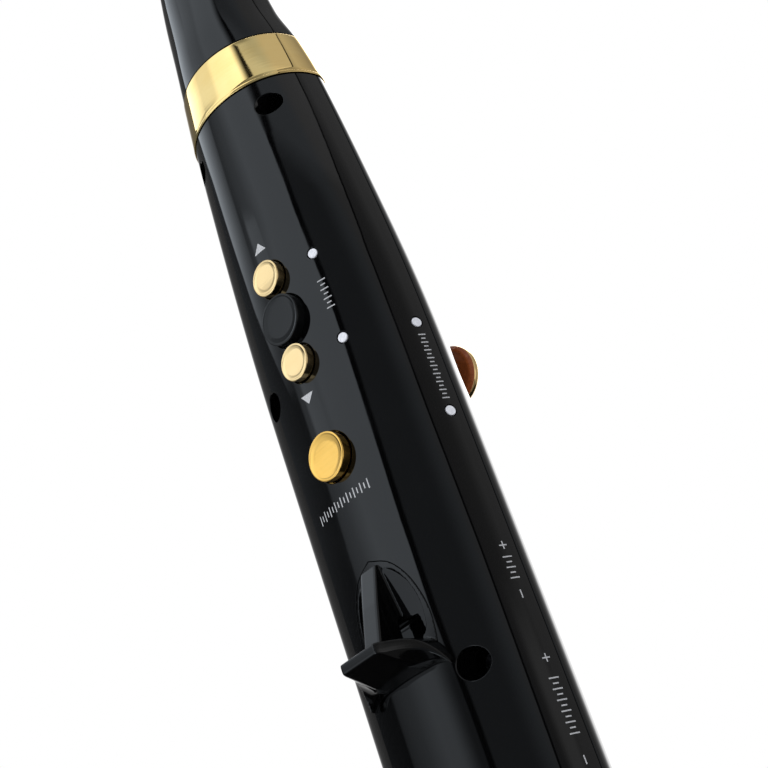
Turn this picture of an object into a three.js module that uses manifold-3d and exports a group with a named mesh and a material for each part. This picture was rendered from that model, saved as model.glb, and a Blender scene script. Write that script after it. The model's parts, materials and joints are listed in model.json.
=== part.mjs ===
// Digital wind controller: gloss black body with gold trim, in millimetres, +Z towards the mouthpiece.
// The rear, with the thumb buttons and the thumb hook, faces -Y, and the front keys face +Y.
// The origin is the centre of the flat bell end, on which the instrument can stand.

import * as THREE from 'three';
import { mergeVertices } from 'three/addons/utils/BufferGeometryUtils.js';
import Module from 'manifold-3d';

const wasm = await Module();
wasm.setup();

// Driving dimensions
const HALF_WIDTH = 28;
const REAR = -18;
const FRONT = 19;
const WALL = 2.2;
const GAP = 0.3;
const SHORTEST_EDGE = 0.01;
const OVAL_STEPS = 36;
const INNER_STEPS = 20;

const BELL_RING_TOP = 10;
const RING_LOW = 370;
const RING_TOP = 386.4;
const NECK_TOP = 455;
const TOTAL_LENGTH = 520;
const MOUTH_AXIS_Y = -5.5;
const AIR_BORE = 1.9;

const BUTTON_HEIGHT = 2.3;
const KEY_TRAVEL = 1.5;
const SWITCH_PLUNGER = 3.5;
const SWITCH_HALF = 3;

// Outline of the body and neck at each height: half width, rearmost y, frontmost y, y of the widest line
const BODY_STATIONS = [
  [0, 31, -21, 21, 0],
  [BELL_RING_TOP, 30.6, -20.8, 20.8, 0],
  [35, 29.3, -19.4, 20, 0],
  [60, 28.5, -18.6, 19.4, 0],
  [110, HALF_WIDTH, REAR, FRONT, 0],
  [260, HALF_WIDTH, REAR, FRONT, 0],
  [300, 27.7, -18.1, 18.3, 0],
  [335, 25.75, -18.7, 15.2, 0],
  [RING_LOW, 22.85, -19, 11.6, 0],
  [RING_TOP, 20.8, -18.7, 10, -1],
  [398, 18.6, -18.5, 8.6, -2.8],
  [416, 16.8, -17.3, 8, -4.2],
  [435, 13.4, -16.6, 6.4, -5],
  [447, 11.2, -16.4, 5.4, MOUTH_AXIS_Y],
  [NECK_TOP, 10.8, -16.3, 5.3, MOUTH_AXIS_Y],
];
const MOUTHPIECE_STATIONS = [
  [NECK_TOP + GAP, 10.6, -16.1, 5.1, MOUTH_AXIS_Y],
  [NECK_TOP + 2, 11.2, -16.7, 5.7, MOUTH_AXIS_Y],
  [NECK_TOP + 7, 11.2, -16.7, 5.7, MOUTH_AXIS_Y],
  [NECK_TOP + 9, 10.4, -15.9, 4.9, MOUTH_AXIS_Y],
  [480, 10.2, -15.7, 4.2, MOUTH_AXIS_Y],
  [500, 9.2, -15.4, -3, -9.5],
  [512, 8.2, -15, -8.4, -12],
  [518.6, 7.2, -14.6, -11, -13],
  [TOTAL_LENGTH, 6.4, -14, -11.8, -13],
];
const AIR_STATIONS = [
  [470, AIR_BORE, MOUTH_AXIS_Y - AIR_BORE, MOUTH_AXIS_Y + AIR_BORE, MOUTH_AXIS_Y],
  [490, 2.2, -10, -6.6, -8.3],
  [505, 3.5, -12.3, -10.1, -11.2],
  [TOTAL_LENGTH + 1, 5, -13.6, -12.2, -12.9],
];

// Finishes
function finish(color, roughness, metalness) {
  return new THREE.MeshStandardMaterial({ color, roughness, metalness });
}

const GLOSS_BLACK = finish(0x08080a, 0.08, 0);
const GOLD = finish(0xd9b15c, 0.12, 1);
const GOLD_KEY = finish(0xcfa554, 0.16, 1);
const RUBBER = finish(0x141415, 0.6, 0);
const SILICONE = finish(0xd8dcd9, 0.4, 0);
const CIRCUIT_GREEN = finish(0x14532f, 0.45, 0);
const STEEL = finish(0x9a9ca0, 0.3, 1);
const BLACK_STEEL = finish(0x1d1d20, 0.35, 1);
const BATTERY_WRAP = finish(0x2c5f9b, 0.4, 0);
const MATT_BLACK = finish(0x19191b, 0.55, 0);
const WIRE_RED = finish(0x9c1e1a, 0.5, 0);
const WIRE_GREY = finish(0x8d8f93, 0.5, 0);
const SILVER_WINDOW = finish(0xc9ccd2, 0.3, 0);

const instrument = new THREE.Group();

// Solids from three.js geometry
function toSolid(geometry) {
  const bare = new THREE.BufferGeometry();
  bare.setAttribute('position', geometry.getAttribute('position'));
  if (geometry.index) bare.setIndex(geometry.index);
  const merged = mergeVertices(bare, 1e-4);
  const index = merged.index.array;
  const corners = [];
  for (let i = 0; i < index.length; i += 3) {
    const [a, b, c] = [index[i], index[i + 1], index[i + 2]];
    if (a !== b && b !== c && c !== a) corners.push(a, b, c);
  }
  return new wasm.Manifold(new wasm.Mesh({
    numProp: 3,
    vertProperties: new Float32Array(merged.getAttribute('position').array),
    triVerts: new Uint32Array(corners),
  }));
}

function addPiece(name, solid, material) {
  const mesh = solid.simplify(SHORTEST_EDGE).getMesh();
  const geometry = new THREE.BufferGeometry();
  geometry.setAttribute('position', new THREE.BufferAttribute(mesh.vertProperties, 3));
  geometry.setIndex(new THREE.BufferAttribute(mesh.triVerts, 1));
  geometry.computeVertexNormals();
  const piece = new THREE.Mesh(geometry, material);
  piece.name = name;
  instrument.add(piece);
}

const join = (first, ...others) => others.reduce((sum, next) => sum.add(next), first);
const cut = (first, ...tools) => tools.reduce((rest, tool) => rest.subtract(tool), first);

function box([x0, x1], [y0, y1], [z0, z1]) {
  const geometry = new THREE.BoxGeometry(x1 - x0, y1 - y0, z1 - z0);
  geometry.translate((x0 + x1) / 2, (y0 + y1) / 2, (z0 + z1) / 2);
  return toSolid(geometry);
}

// A round bar along Y at the given x and z, and one along Z at the given x and y
function barY(radius, [y0, y1], x, z, sides = 16) {
  const geometry = new THREE.CylinderGeometry(radius, radius, y1 - y0, sides);
  geometry.translate(x, (y0 + y1) / 2, z);
  return toSolid(geometry);
}

function barZ(radius, [z0, z1], x, y, sides = 16) {
  const geometry = new THREE.CylinderGeometry(radius, radius, z1 - z0, sides);
  geometry.rotateX(Math.PI / 2);
  geometry.translate(x, y, (z0 + z1) / 2);
  return toSolid(geometry);
}

// A turned piece about a line along Y: the profile lists [radius, y] from low y to high y
function turnedY(profile, x, z, sides) {
  const geometry = new THREE.LatheGeometry(profile.map(([r, y]) => new THREE.Vector2(r, y)), sides);
  geometry.translate(x, 0, z);
  return toSolid(geometry);
}

function turnedZ(profile, sides) {
  const geometry = new THREE.LatheGeometry(profile.map(([r, z]) => new THREE.Vector2(r, z)), sides);
  geometry.rotateX(Math.PI / 2);
  return toSolid(geometry);
}

// A solid through loops of points, which run anticlockwise seen from the side they advance to
function loft(loops) {
  const count = loops[0].length;
  const points = loops.flat();
  const faces = [];
  for (let level = 0; level + 1 < loops.length; level++) {
    for (let i = 0; i < count; i++) {
      const [a, b] = [level * count + i, level * count + (i + 1) % count];
      faces.push(a, b, b + count, a, b + count, a + count);
    }
  }
  const middle = (loop) => loop.reduce((sum, p) => sum.add(p), new THREE.Vector3()).divideScalar(count);
  const [first, last] = [points.length, points.length + 1];
  points.push(middle(loops[0]), middle(loops[loops.length - 1]));
  const top = (loops.length - 1) * count;
  for (let i = 0; i < count; i++) {
    const next = (i + 1) % count;
    faces.push(first, next, i, last, top + i, top + next);
  }
  const geometry = new THREE.BufferGeometry().setFromPoints(points);
  geometry.setIndex(faces);
  return toSolid(geometry);
}

// A flat outline in x and z, as a plate between two values of y
function plateY(outline, [y0, y1]) {
  const shape = new THREE.Shape(outline.map(([x, z]) => new THREE.Vector2(x, z)));
  const geometry = new THREE.ExtrudeGeometry(shape, { depth: y1 - y0, bevelEnabled: false });
  geometry.rotateX(Math.PI / 2);
  geometry.translate(0, y1, 0);
  return toSolid(geometry);
}

// A tube or strip that follows a smooth route
function alongRoute(section, route, steps) {
  const path = new THREE.CatmullRomCurve3(route.map((point) => new THREE.Vector3(...point)));
  return toSolid(new THREE.ExtrudeGeometry(section, { steps, extrudePath: path, bevelEnabled: false }));
}

function circleShape(radius, sides) {
  const corners = Array.from({ length: sides }, (_, i) => {
    const turn = (2 * Math.PI * i) / sides;
    return new THREE.Vector2(radius * Math.cos(turn), radius * Math.sin(turn));
  });
  return new THREE.Shape(corners);
}

// Smooth values between the stations of an outline
function stationValue(stations, z, column) {
  const last = stations.length - 1;
  if (z <= stations[0][0]) return stations[0][column];
  if (z >= stations[last][0]) return stations[last][column];
  const i = stations.findIndex((row) => row[0] > z) - 1;
  const slope = (k) => {
    const [low, high] = [stations[Math.max(k - 1, 0)], stations[Math.min(k + 1, last)]];
    return (high[column] - low[column]) / (high[0] - low[0]);
  };
  const span = stations[i + 1][0] - stations[i][0];
  const t = (z - stations[i][0]) / span;
  const [v0, v1] = [stations[i][column], stations[i + 1][column]];
  const [m0, m1] = [slope(i) * span, slope(i + 1) * span];
  return (2 * t ** 3 - 3 * t ** 2 + 1) * v0 + (t ** 3 - 2 * t ** 2 + t) * m0
    + (3 * t ** 2 - 2 * t ** 3) * v1 + (t ** 3 - t ** 2) * m1;
}

function ovalLoop(stations, z, inset, steps = OVAL_STEPS) {
  const [half, rear, front, wide] = [1, 2, 3, 4].map((column) => stationValue(stations, z, column));
  return Array.from({ length: steps }, (_, i) => {
    const turn = (2 * Math.PI * i) / steps;
    const depth = Math.sin(turn) > 0 ? front - wide - inset : wide - rear - inset;
    return new THREE.Vector3((half - inset) * Math.cos(turn), wide + depth * Math.sin(turn), z);
  });
}

// Levels are [z, inset] pairs
function ovalSolid(stations, levels, steps) {
  return loft(levels.map(([z, inset]) => ovalLoop(stations, z, inset, steps)));
}

// Height of the body's surface over the x, z plane: side is 1 at the front and -1 at the rear
function surfaceY(x, z, side, inset = 0) {
  const half = stationValue(BODY_STATIONS, z, 1) - inset;
  const depth = Math.abs(stationValue(BODY_STATIONS, z, side > 0 ? 3 : 2)) - inset;
  return side * depth * Math.sqrt(1 - (x / half) ** 2);
}

// Shell screws: round recesses with the head deep inside, mirrored pairs at the ends, staggered between
const SCREW_X = 16.4;
const NECK_SCREW_X = 15.2;
const RECESS_RADIUS = 3.7;
const NECK_RECESS_RADIUS = 3.3;
const SHELL_SCREWS = [
  { name: 'shell_screw_neck_right', x: NECK_SCREW_X, z: 361.8, recess: NECK_RECESS_RADIUS },
  { name: 'shell_screw_neck_left', x: -NECK_SCREW_X, z: 361.8, recess: NECK_RECESS_RADIUS },
  { name: 'shell_screw_upper_left', x: -SCREW_X, z: 286, recess: RECESS_RADIUS },
  { name: 'shell_screw_middle_right', x: SCREW_X, z: 200.4, recess: RECESS_RADIUS },
  { name: 'shell_screw_lower_left', x: -SCREW_X, z: 115, recess: RECESS_RADIUS },
  { name: 'shell_screw_bell_right', x: SCREW_X, z: 38, recess: RECESS_RADIUS },
  { name: 'shell_screw_bell_left', x: -SCREW_X, z: 38, recess: RECESS_RADIUS },
];
const RECESS_FLOOR = -4.5;
const RECESS_WALL = 1.4;
const PILOT_RADIUS = 1.6;
const SCREW_TIP = 8;

// Thumb buttons on the rear centre line
const THUMB_Z = 301.2;
const OCTAVE_SPACING = 12.75;
const FUNCTION_Z = 261.5;
const BUTTONS = [
  { name: 'upper_octave_button', z: THUMB_Z + OCTAVE_SPACING, radius: 4.8, material: GOLD },
  { name: 'thumb_button', z: THUMB_Z, radius: 6.7, material: GLOSS_BLACK },
  { name: 'lower_octave_button', z: THUMB_Z - OCTAVE_SPACING, radius: 4.8, material: GOLD },
  { name: 'function_button', z: FUNCTION_Z, radius: 6.1, material: GOLD },
];
const BUTTON_CLEARANCE = 0.3;
const FLANGE_TOP = -14.8;
const FLANGE_LOW = -13.9;
const PLUNGER_END = -13.2;

// Front keys: touch at x and z, stem moved sideways under the side key
const KEYS = [
  { name: 'left_index_key', x: -4.5, z: 323, radius: 8.2 },
  { name: 'left_middle_key', x: -4.5, z: 300, radius: 8.2 },
  { name: 'left_ring_key', x: -4.5, z: 277, radius: 8.2 },
  { name: 'left_side_key', x: 12.5, z: 282, radius: 8.2, stemX: 8.2 },
  { name: 'left_between_key', x: 6.6, z: 311.5, radius: 4.4 },
  { name: 'left_little_key', x: -1.5, z: 253, radius: 6.6 },
  { name: 'right_index_key', x: 3, z: 216, radius: 8.2 },
  { name: 'right_middle_key', x: 3, z: 193, radius: 8.2 },
  { name: 'right_ring_key', x: 3, z: 170, radius: 8.2 },
  { name: 'right_little_upper_key', x: 3, z: 147, radius: 6.4 },
  { name: 'right_little_lower_key', x: 3, z: 132, radius: 6.4 },
];
const STEM_RADIUS = 2.4;
const STEM_FLANGE = 3.5;

// Boards: faces along Y, carried by posts of the shells
const MAIN_BOARD_Y = [4.8, 6.4];
const MAIN_BOARD_Z = [124, 346];
const BUTTON_BOARD_Y = [-8.2, -6.8];
const BUTTON_BOARD_Z = [251, 328];
const SOCKET_BOARD_Z = [64, 144];
const POST_RADIUS = 2.2;
const POST_HOLE = 1.1;
const MAIN_BOARD_POSTS = [[6.6, 341], [0, 234.5], [-5.5, 158.5]];
const BUTTON_BOARD_POSTS = [[0, 275.2], [0, 324]];
const SOCKET_BOARD_POSTS = [[0, 68.5], [0, 118]];
const SWITCH_REACH = 6.8;

// Windows of the four status lights: x, z and the side of the body that they lie on
const WINDOW_RADIUS = 1.3;
const WINDOW_DEPTH = 1.2;
const KEY_WINDOW_X = 13.6;
const SIDE_WINDOW_Y = -3.7;
const WINDOWS = [
  { name: 'key_light_upper', x: KEY_WINDOW_X, z: 313.1 },
  { name: 'key_light_lower', x: KEY_WINDOW_X, z: 287.6 },
  { name: 'side_light_upper', y: SIDE_WINDOW_Y, z: 285 },
  { name: 'side_light_lower', y: SIDE_WINDOW_Y, z: 259.7 },
];

// Thumb hook and sockets
const HOOK_LOW = 204;
const HOOK_TOP = 233.4;
const HOOK_HALF = 11.5;
const SOCKET_Z = 84;
const JACK_Z = 103;
const JACK_RADIUS = 3.6;
const POWER_Z = 131;
const POWER_TRAVEL = 3.6;
const KNOB_HALF = [1.7, 2.6];

const BODY_LEVELS = [BELL_RING_TOP + GAP, 22, 40, 65, 110, 260, 282, 300, 318, 335, 352, RING_LOW];
const INNER_LEVELS = [22, 65, 110, 260, 300, 335];
const SPIGOT_LOW = 4;
const SPIGOT_TOP = 392;
const SPIGOT_INSET = 3;
const SPIGOT_WALL = 1.8;

const bodyOuter = ovalSolid(BODY_STATIONS, [
  [SPIGOT_LOW, SPIGOT_INSET],
  [BELL_RING_TOP + GAP, SPIGOT_INSET],
  ...BODY_LEVELS.map((z) => [z, 0]),
  [RING_LOW, SPIGOT_INSET],
  [SPIGOT_TOP, SPIGOT_INSET],
]);
const bodyInner = ovalSolid(BODY_STATIONS, [
  [SPIGOT_LOW - 1, SPIGOT_INSET + SPIGOT_WALL],
  [BELL_RING_TOP + 2, SPIGOT_INSET + SPIGOT_WALL],
  [BELL_RING_TOP + 5, WALL],
  ...INNER_LEVELS.map((z) => [z, WALL]),
  [RING_LOW - 6, WALL],
  [RING_LOW - 2, SPIGOT_INSET + SPIGOT_WALL],
  [SPIGOT_TOP + 1, SPIGOT_INSET + SPIGOT_WALL],
], INNER_STEPS);
const bodyWall = bodyOuter.subtract(bodyInner);
const wallMiddle = [BELL_RING_TOP + 2, ...INNER_LEVELS, RING_LOW - 2].map((z) => [z, WALL / 2]);
const postRoom = ovalSolid(BODY_STATIONS, wallMiddle);
const FAR = 60;
const rearSide = box([-FAR, FAR], [-FAR, -GAP / 2], [0, TOTAL_LENGTH]);
const frontSide = box([-FAR, FAR], [GAP / 2, FAR], [0, TOTAL_LENGTH]);

// Thumb hook outline: a pointed arch that swells towards the shelf
function hookOutline(grow) {
  const side = [[0, HOOK_TOP], [5.4, 230.6], [8.9, 226], [10.8, 220.6], [HOOK_HALF, 215.2], [11, 209.5],
    [9.6, HOOK_LOW]];
  const last = side.length - 1;
  const right = side.map(([x, z], i) => [x === 0 ? 0 : x + grow, z + grow * (1 - (2 * i) / last)]);
  const left = right.slice(1).reverse().map(([x, z]) => [-x, z]);
  return [...right, ...left];
}

function addShells() {
  const rearBoardPosts = [...BUTTON_BOARD_POSTS, ...SOCKET_BOARD_POSTS];
  const rearPosts = [
    ...SHELL_SCREWS.map(({ x, z, recess }) => barY(recess + RECESS_WALL, [-FAR, 0], x, z, 12)),
    ...rearBoardPosts.map(([x, z]) => barY(POST_RADIUS, [-FAR, BUTTON_BOARD_Y[0] - GAP], x, z, 8)),
    ...HOOK_SCREWS.map(({ z }) => barY(POST_RADIUS, [-FAR, HOOK_FLANGE_Y[0] - GAP], 0, z, 8)),
  ];
  const rearSolid = join(bodyWall, ...rearPosts.map((post) => post.intersect(postRoom)));
  const rearCuts = [
    ...SHELL_SCREWS.map(({ x, z, recess }) => barY(recess, [-FAR, RECESS_FLOOR], x, z, 14)),
    ...SHELL_SCREWS.map(({ x, z }) => barY(PILOT_RADIUS, [-FAR, 1], x, z, 6)),
    ...BUTTONS.map(({ z, radius }) => barY(radius + BUTTON_CLEARANCE, [-FAR, FLANGE_TOP], 0, z, 20)),
    ...rearBoardPosts.map(([x, z]) => barY(POST_HOLE, [-14.5, 0], x, z, 8)),
    ...HOOK_SCREWS.map(({ z }) => barY(POST_HOLE, [-16.5, 0], 0, z, 8)),
    plateY(hookOutline(GAP), [-FAR, -9]),
    box([-4.9, 4.9], [-FAR, -9], [SOCKET_Z - 2, SOCKET_Z + 2]),
    barY(JACK_RADIUS + GAP, [-FAR, -9], 0, JACK_Z, 20),
    box([-KNOB_HALF[0] - GAP, KNOB_HALF[0] + GAP], [-FAR, -12],
      [POWER_Z - KNOB_HALF[1] - GAP, POWER_Z + KNOB_HALF[1] + POWER_TRAVEL + GAP]),
    ...WINDOWS.map((window) => windowSolid(window, GAP)),
  ];
  addPiece('rear_shell', cut(rearSolid, ...rearCuts).intersect(rearSide), GLOSS_BLACK);

  const frontPosts = [
    ...SHELL_SCREWS.map(({ x, z }) => barY(4.2, [0, FAR], x, z, 8)),
    ...MAIN_BOARD_POSTS.map(([x, z]) => barY(POST_RADIUS, [MAIN_BOARD_Y[1] + GAP, FAR], x, z, 8)),
  ];
  const frontSolid = join(bodyWall, ...frontPosts.map((post) => post.intersect(postRoom)));
  const frontCuts = [
    ...SHELL_SCREWS.map(({ x, z }) => barY(PILOT_RADIUS, [-1, SCREW_TIP + 1], x, z, 6)),
    ...MAIN_BOARD_POSTS.map(([x, z]) => barY(POST_HOLE, [0, 11.5], x, z, 8)),
    ...KEYS.map(({ x, z, stemX = x }) => barY(STEM_RADIUS + BUTTON_CLEARANCE, [8, FAR], stemX, z, 10)),
  ];
  addPiece('front_shell', cut(frontSolid, ...frontCuts).intersect(frontSide), GLOSS_BLACK);
}

// A window is a short disc square to the surface, let into it, grown to make its hole
function windowSolid({ x, y, z }, grow = 0) {
  const half = stationValue(BODY_STATIONS, z, 1);
  const depth = -stationValue(BODY_STATIONS, z, 2);
  const place = x === undefined
    ? new THREE.Vector3(half * Math.sqrt(1 - (y / depth) ** 2), y, z)
    : new THREE.Vector3(x, surfaceY(x, z, -1), z);
  const outward = new THREE.Vector3(place.x / half ** 2, place.y / depth ** 2, 0).normalize();
  const radius = WINDOW_RADIUS + grow;
  const geometry = new THREE.CylinderGeometry(radius, radius, WINDOW_DEPTH + 2 * grow, 14);
  geometry.applyQuaternion(new THREE.Quaternion().setFromUnitVectors(new THREE.Vector3(0, 1, 0), outward));
  const centre = place.addScaledVector(outward, -WINDOW_DEPTH / 2);
  geometry.translate(centre.x, centre.y, centre.z);
  return toSolid(geometry);
}

function addWindows() {
  for (const window of WINDOWS) addPiece(window.name, windowSolid(window), SILVER_WINDOW);
}

function addShellScrews() {
  for (const { name, x, z } of SHELL_SCREWS) {
    const head = RECESS_FLOOR - GAP;
    const profile = [[0, head - 2], [2.1, head - 2], [2.7, head - 1.4], [2.7, head], [1.3, head],
      [1.3, SCREW_TIP - 1], [0, SCREW_TIP]];
    const cross = [[1.7, 0.35], [0.35, 1.7]].map(([halfX, halfZ]) => (
      box([x - halfX, x + halfX], [-FAR, head - 1], [z - halfZ, z + halfZ])));
    addPiece(name, cut(turnedY(profile, x, z, 10), ...cross), BLACK_STEEL);
  }
}

// Gold ring, neck and mouthpiece
function addHeadEnd() {
  const ringLow = RING_LOW + GAP;
  const ringTop = RING_TOP - GAP;
  const ringOuter = ovalSolid(BODY_STATIONS, [[ringLow, 0.2], [ringLow + 0.3, -0.4], [ringLow + 0.8, -0.4],
    [ringLow + 1.1, -0.2], [378, -0.5], [ringTop, 0.1]]);
  const ringRoom = [RING_LOW - 1, RING_TOP + 1].map((z) => [z, SPIGOT_INSET - GAP]);
  addPiece('gold_ring', ringOuter.subtract(ovalSolid(BODY_STATIONS, ringRoom)), GOLD);

  const neckLevels = [RING_TOP, 392, 398, 407, 416, 426, 435, 447, NECK_TOP];
  const neckCeiling = 445;
  const neckOuter = ovalSolid(BODY_STATIONS, neckLevels.map((z) => [z, 0]));
  const roomLevels = [RING_TOP - 1, ...neckLevels.slice(1, -2), neckCeiling];
  const neckInner = ovalSolid(BODY_STATIONS, roomLevels.map((z) => [z, WALL]), INNER_STEPS);
  const tenon = barZ(7, [NECK_TOP - 1, 470], 0, MOUTH_AXIS_Y, 24);
  const bore = barZ(AIR_BORE, [neckCeiling - 1, 471], 0, MOUTH_AXIS_Y, 12);
  addPiece('neck_shell', cut(join(neckOuter, tenon), neckInner, bore), GLOSS_BLACK);

  const sealOuter = barZ(8.3, [NECK_TOP + GAP, 468], 0, MOUTH_AXIS_Y, 24);
  const sealInner = barZ(7.3, [NECK_TOP - 1, 469], 0, MOUTH_AXIS_Y, 24);
  addPiece('mouthpiece_seal', sealOuter.subtract(sealInner), RUBBER);

  const mouthOuter = ovalSolid(MOUTHPIECE_STATIONS, MOUTHPIECE_STATIONS.map(([z]) => [z, 0]), 32);
  const socket = barZ(8.6, [NECK_TOP - 1, 471.5], 0, MOUTH_AXIS_Y, 24);
  const channel = ovalSolid(AIR_STATIONS, [470, 480, 490, 505, TOTAL_LENGTH + 1].map((z) => [z, 0]), 12);
  addPiece('mouthpiece', cut(mouthOuter, socket, channel), RUBBER);
}

// Bell end: gold ring round the shells' lower spigot, and a cap with sound slots inside it
function addBellEnd() {
  const ringOuter = ovalSolid(BODY_STATIONS, [[0, 0.4], [2, -0.3], [8, -0.4], [BELL_RING_TOP, 0.2]]);
  const ringRoom = [-1, BELL_RING_TOP + 1].map((z) => [z, SPIGOT_INSET - GAP]);
  addPiece('bell_ring', ringOuter.subtract(ovalSolid(BODY_STATIONS, ringRoom)), GOLD);

  const plate = ovalSolid(BODY_STATIONS, [[0, SPIGOT_INSET], [SPIGOT_LOW - GAP, SPIGOT_INSET]]);
  const lip = barZ(15.6, [SPIGOT_LOW - 1, 5.7], 0, 0, 24).subtract(barZ(14, [SPIGOT_LOW - 2, 6], 0, 0, 24));
  const slots = [];
  for (const ring of [7.4, 11.4]) {
    for (let quarter = 0; quarter < 6; quarter++) {
      const slot = box([ring - 0.9, ring + 0.9], [-ring * 0.4, ring * 0.4], [-1, SPIGOT_LOW]);
      slots.push(slot.rotate([0, 0, quarter * 60]));
    }
  }
  addPiece('end_cap', cut(join(plate, lip), ...slots), MATT_BLACK);

  const speakerProfile = [[0, 7.6], [5, 7], [12.6, 6.3], [15.4, 6], [15.4, 7.6], [13.6, 8.2], [9.4, 14],
    [9.4, 21], [0, 21]];
  addPiece('speaker', turnedZ(speakerProfile, 24), MATT_BLACK);
}

// Button: raised round cap, retaining flange inside the shell, plunger over its switch
function addButtons() {
  for (const { name, z, radius, material } of BUTTONS) {
    const face = surfaceY(0, z, -1) - BUTTON_HEIGHT;
    const profile = [[0, face + 0.2], [radius - 1, face + 0.15], [radius - 0.7, face],
      [radius - 0.25, face + 0.05], [radius, face + 0.35], [radius, FLANGE_TOP], [radius + 0.5, FLANGE_TOP],
      [radius + 0.5, FLANGE_LOW], [radius - 1.2, FLANGE_LOW], [radius - 1.2, PLUNGER_END], [0, PLUNGER_END]];
    addPiece(name, turnedY(profile, 0, z, 20), material);
  }
}

// Key: dished round touch on a stem that slides through the front shell
function addKeys() {
  for (const { name, x, z, radius, stemX = x } of KEYS) {
    const nearX = Math.max(Math.abs(x) - radius, 0);
    const low = surfaceY(nearX, z - radius, 1) + KEY_TRAVEL + 0.5;
    const top = low + 2.6;
    const touchProfile = [[0, low], [radius - 1.4, low], [radius, low + 1], [radius, top - 0.5],
      [radius - 0.6, top], [radius - 1.3, top - 0.1], [radius * 0.5, top - 0.7], [0, top - 0.9]];
    const flangeTop = surfaceY(Math.abs(stemX) + STEM_FLANGE, z, 1, WALL) - 0.5;
    const stemEnd = MAIN_BOARD_Y[1] + SWITCH_PLUNGER + KEY_TRAVEL + GAP;
    const stemProfile = [[0, stemEnd], [STEM_RADIUS, stemEnd], [STEM_RADIUS, flangeTop - 0.9],
      [STEM_FLANGE, flangeTop - 0.9], [STEM_FLANGE, flangeTop], [STEM_RADIUS, flangeTop],
      [STEM_RADIUS, low + 0.5], [0, low + 0.5]];
    const touch = turnedY(touchProfile, x, z, 18);
    addPiece(name, join(touch, turnedY(stemProfile, stemX, z, 8)), GOLD_KEY);
  }
}

// Thumb hook: base let into the rear shell, scooped pocket, strap rib with a slot behind it, thumb shelf
const HOOK_FLANGE_Y = [-13, -11.4];
const HOOK_SCREWS = [{ name: 'hook_screw_upper', z: 240.5 }, { name: 'hook_screw_lower', z: 198.5 }];
const SHELF_FRONT_Y = -31.3;
const SHELF_CORNER_X = 6;
const SHELF_END = { x: 13.5, y: -18.2 };
const SHELF_LOW = 208;
const SHELF_RIM = 2.4;
const SHELF_DROOP = 6;
const SHELF_ROOT = { y: -17, z: 203.7 };
const SHELF_STEPS = [0, 3, 5.2, 6.6, 8.1, 9.7, 11.2, 12.5, SHELF_END.x];
const RIB_HALF = 2.7;
const FLOOR_LOW = { y: -15, z: 212.5 };
const FLOOR_TOP = { y: -18, z: 229.5 };
const FLOOR_BOW = 0.022;
const POCKET_LOW = 210.6;
const POCKET_SIDE = [[7.4, 0], [9.4, 2], [10.1, 6.4], [9.7, 10.4], [8, 15], [5, 18.6], [0, 20.4]];
const SLOT_HALF = 6.5;
const SLOT_Y = [-17.6, HOOK_FLANGE_Y[0]];
const SLOT_TOP = 217;

// The shelf's section at x: straight in front as far as its corners, then swept back and drooping
function shelfLoop(x) {
  const swept = Math.max((Math.abs(x) - SHELF_CORNER_X) / (SHELF_END.x - SHELF_CORNER_X), 0);
  const outer = SHELF_FRONT_Y + (SHELF_END.y - SHELF_FRONT_Y) * swept ** 0.75;
  const low = SHELF_LOW - SHELF_DROOP * swept ** 3;
  const rim = SHELF_RIM * (1 - 0.7 * swept ** 3);
  const [top, bevel] = [low + rim, 0.25 * rim];
  const root = SHELF_ROOT.z - 2 * swept ** 4;
  const inner = -14;
  const profile = [[inner, top], [outer + bevel, top], [outer, top - bevel], [outer, low + bevel],
    [outer + bevel, low], [outer + 0.6 * (SHELF_ROOT.y - outer), low + 0.8 * (root - low)],
    [SHELF_ROOT.y, root], [inner, root]];
  return profile.map(([y, z]) => new THREE.Vector3(x, y, z));
}

// A section at x with its side outline given as y, z
function sideLoop(x, side) {
  return side.map(([y, z]) => new THREE.Vector3(x, y, z));
}

// What lies over the pocket's floor at x: the floor rises towards the top and bows as the body does
function overFloorLoop(x) {
  const bow = FLOOR_BOW * x ** 2;
  return sideLoop(x, [[-FAR, 200], [FLOOR_LOW.y + bow, 200], [FLOOR_LOW.y + bow, FLOOR_LOW.z],
    [FLOOR_TOP.y + bow, FLOOR_TOP.z], [FLOOR_TOP.y + bow, 240], [-FAR, 240]]);
}

// The pocket's outline at depth y, drawn in by share of its width and height
function pocketLoop(y, share) {
  const right = POCKET_SIDE.map(([x, rise]) => new THREE.Vector3(share * x, y, POCKET_LOW + share * rise));
  const left = right.slice(0, -1).map((point) => new THREE.Vector3(-point.x, point.y, point.z));
  return [...left, ...right.reverse()];
}

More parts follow.
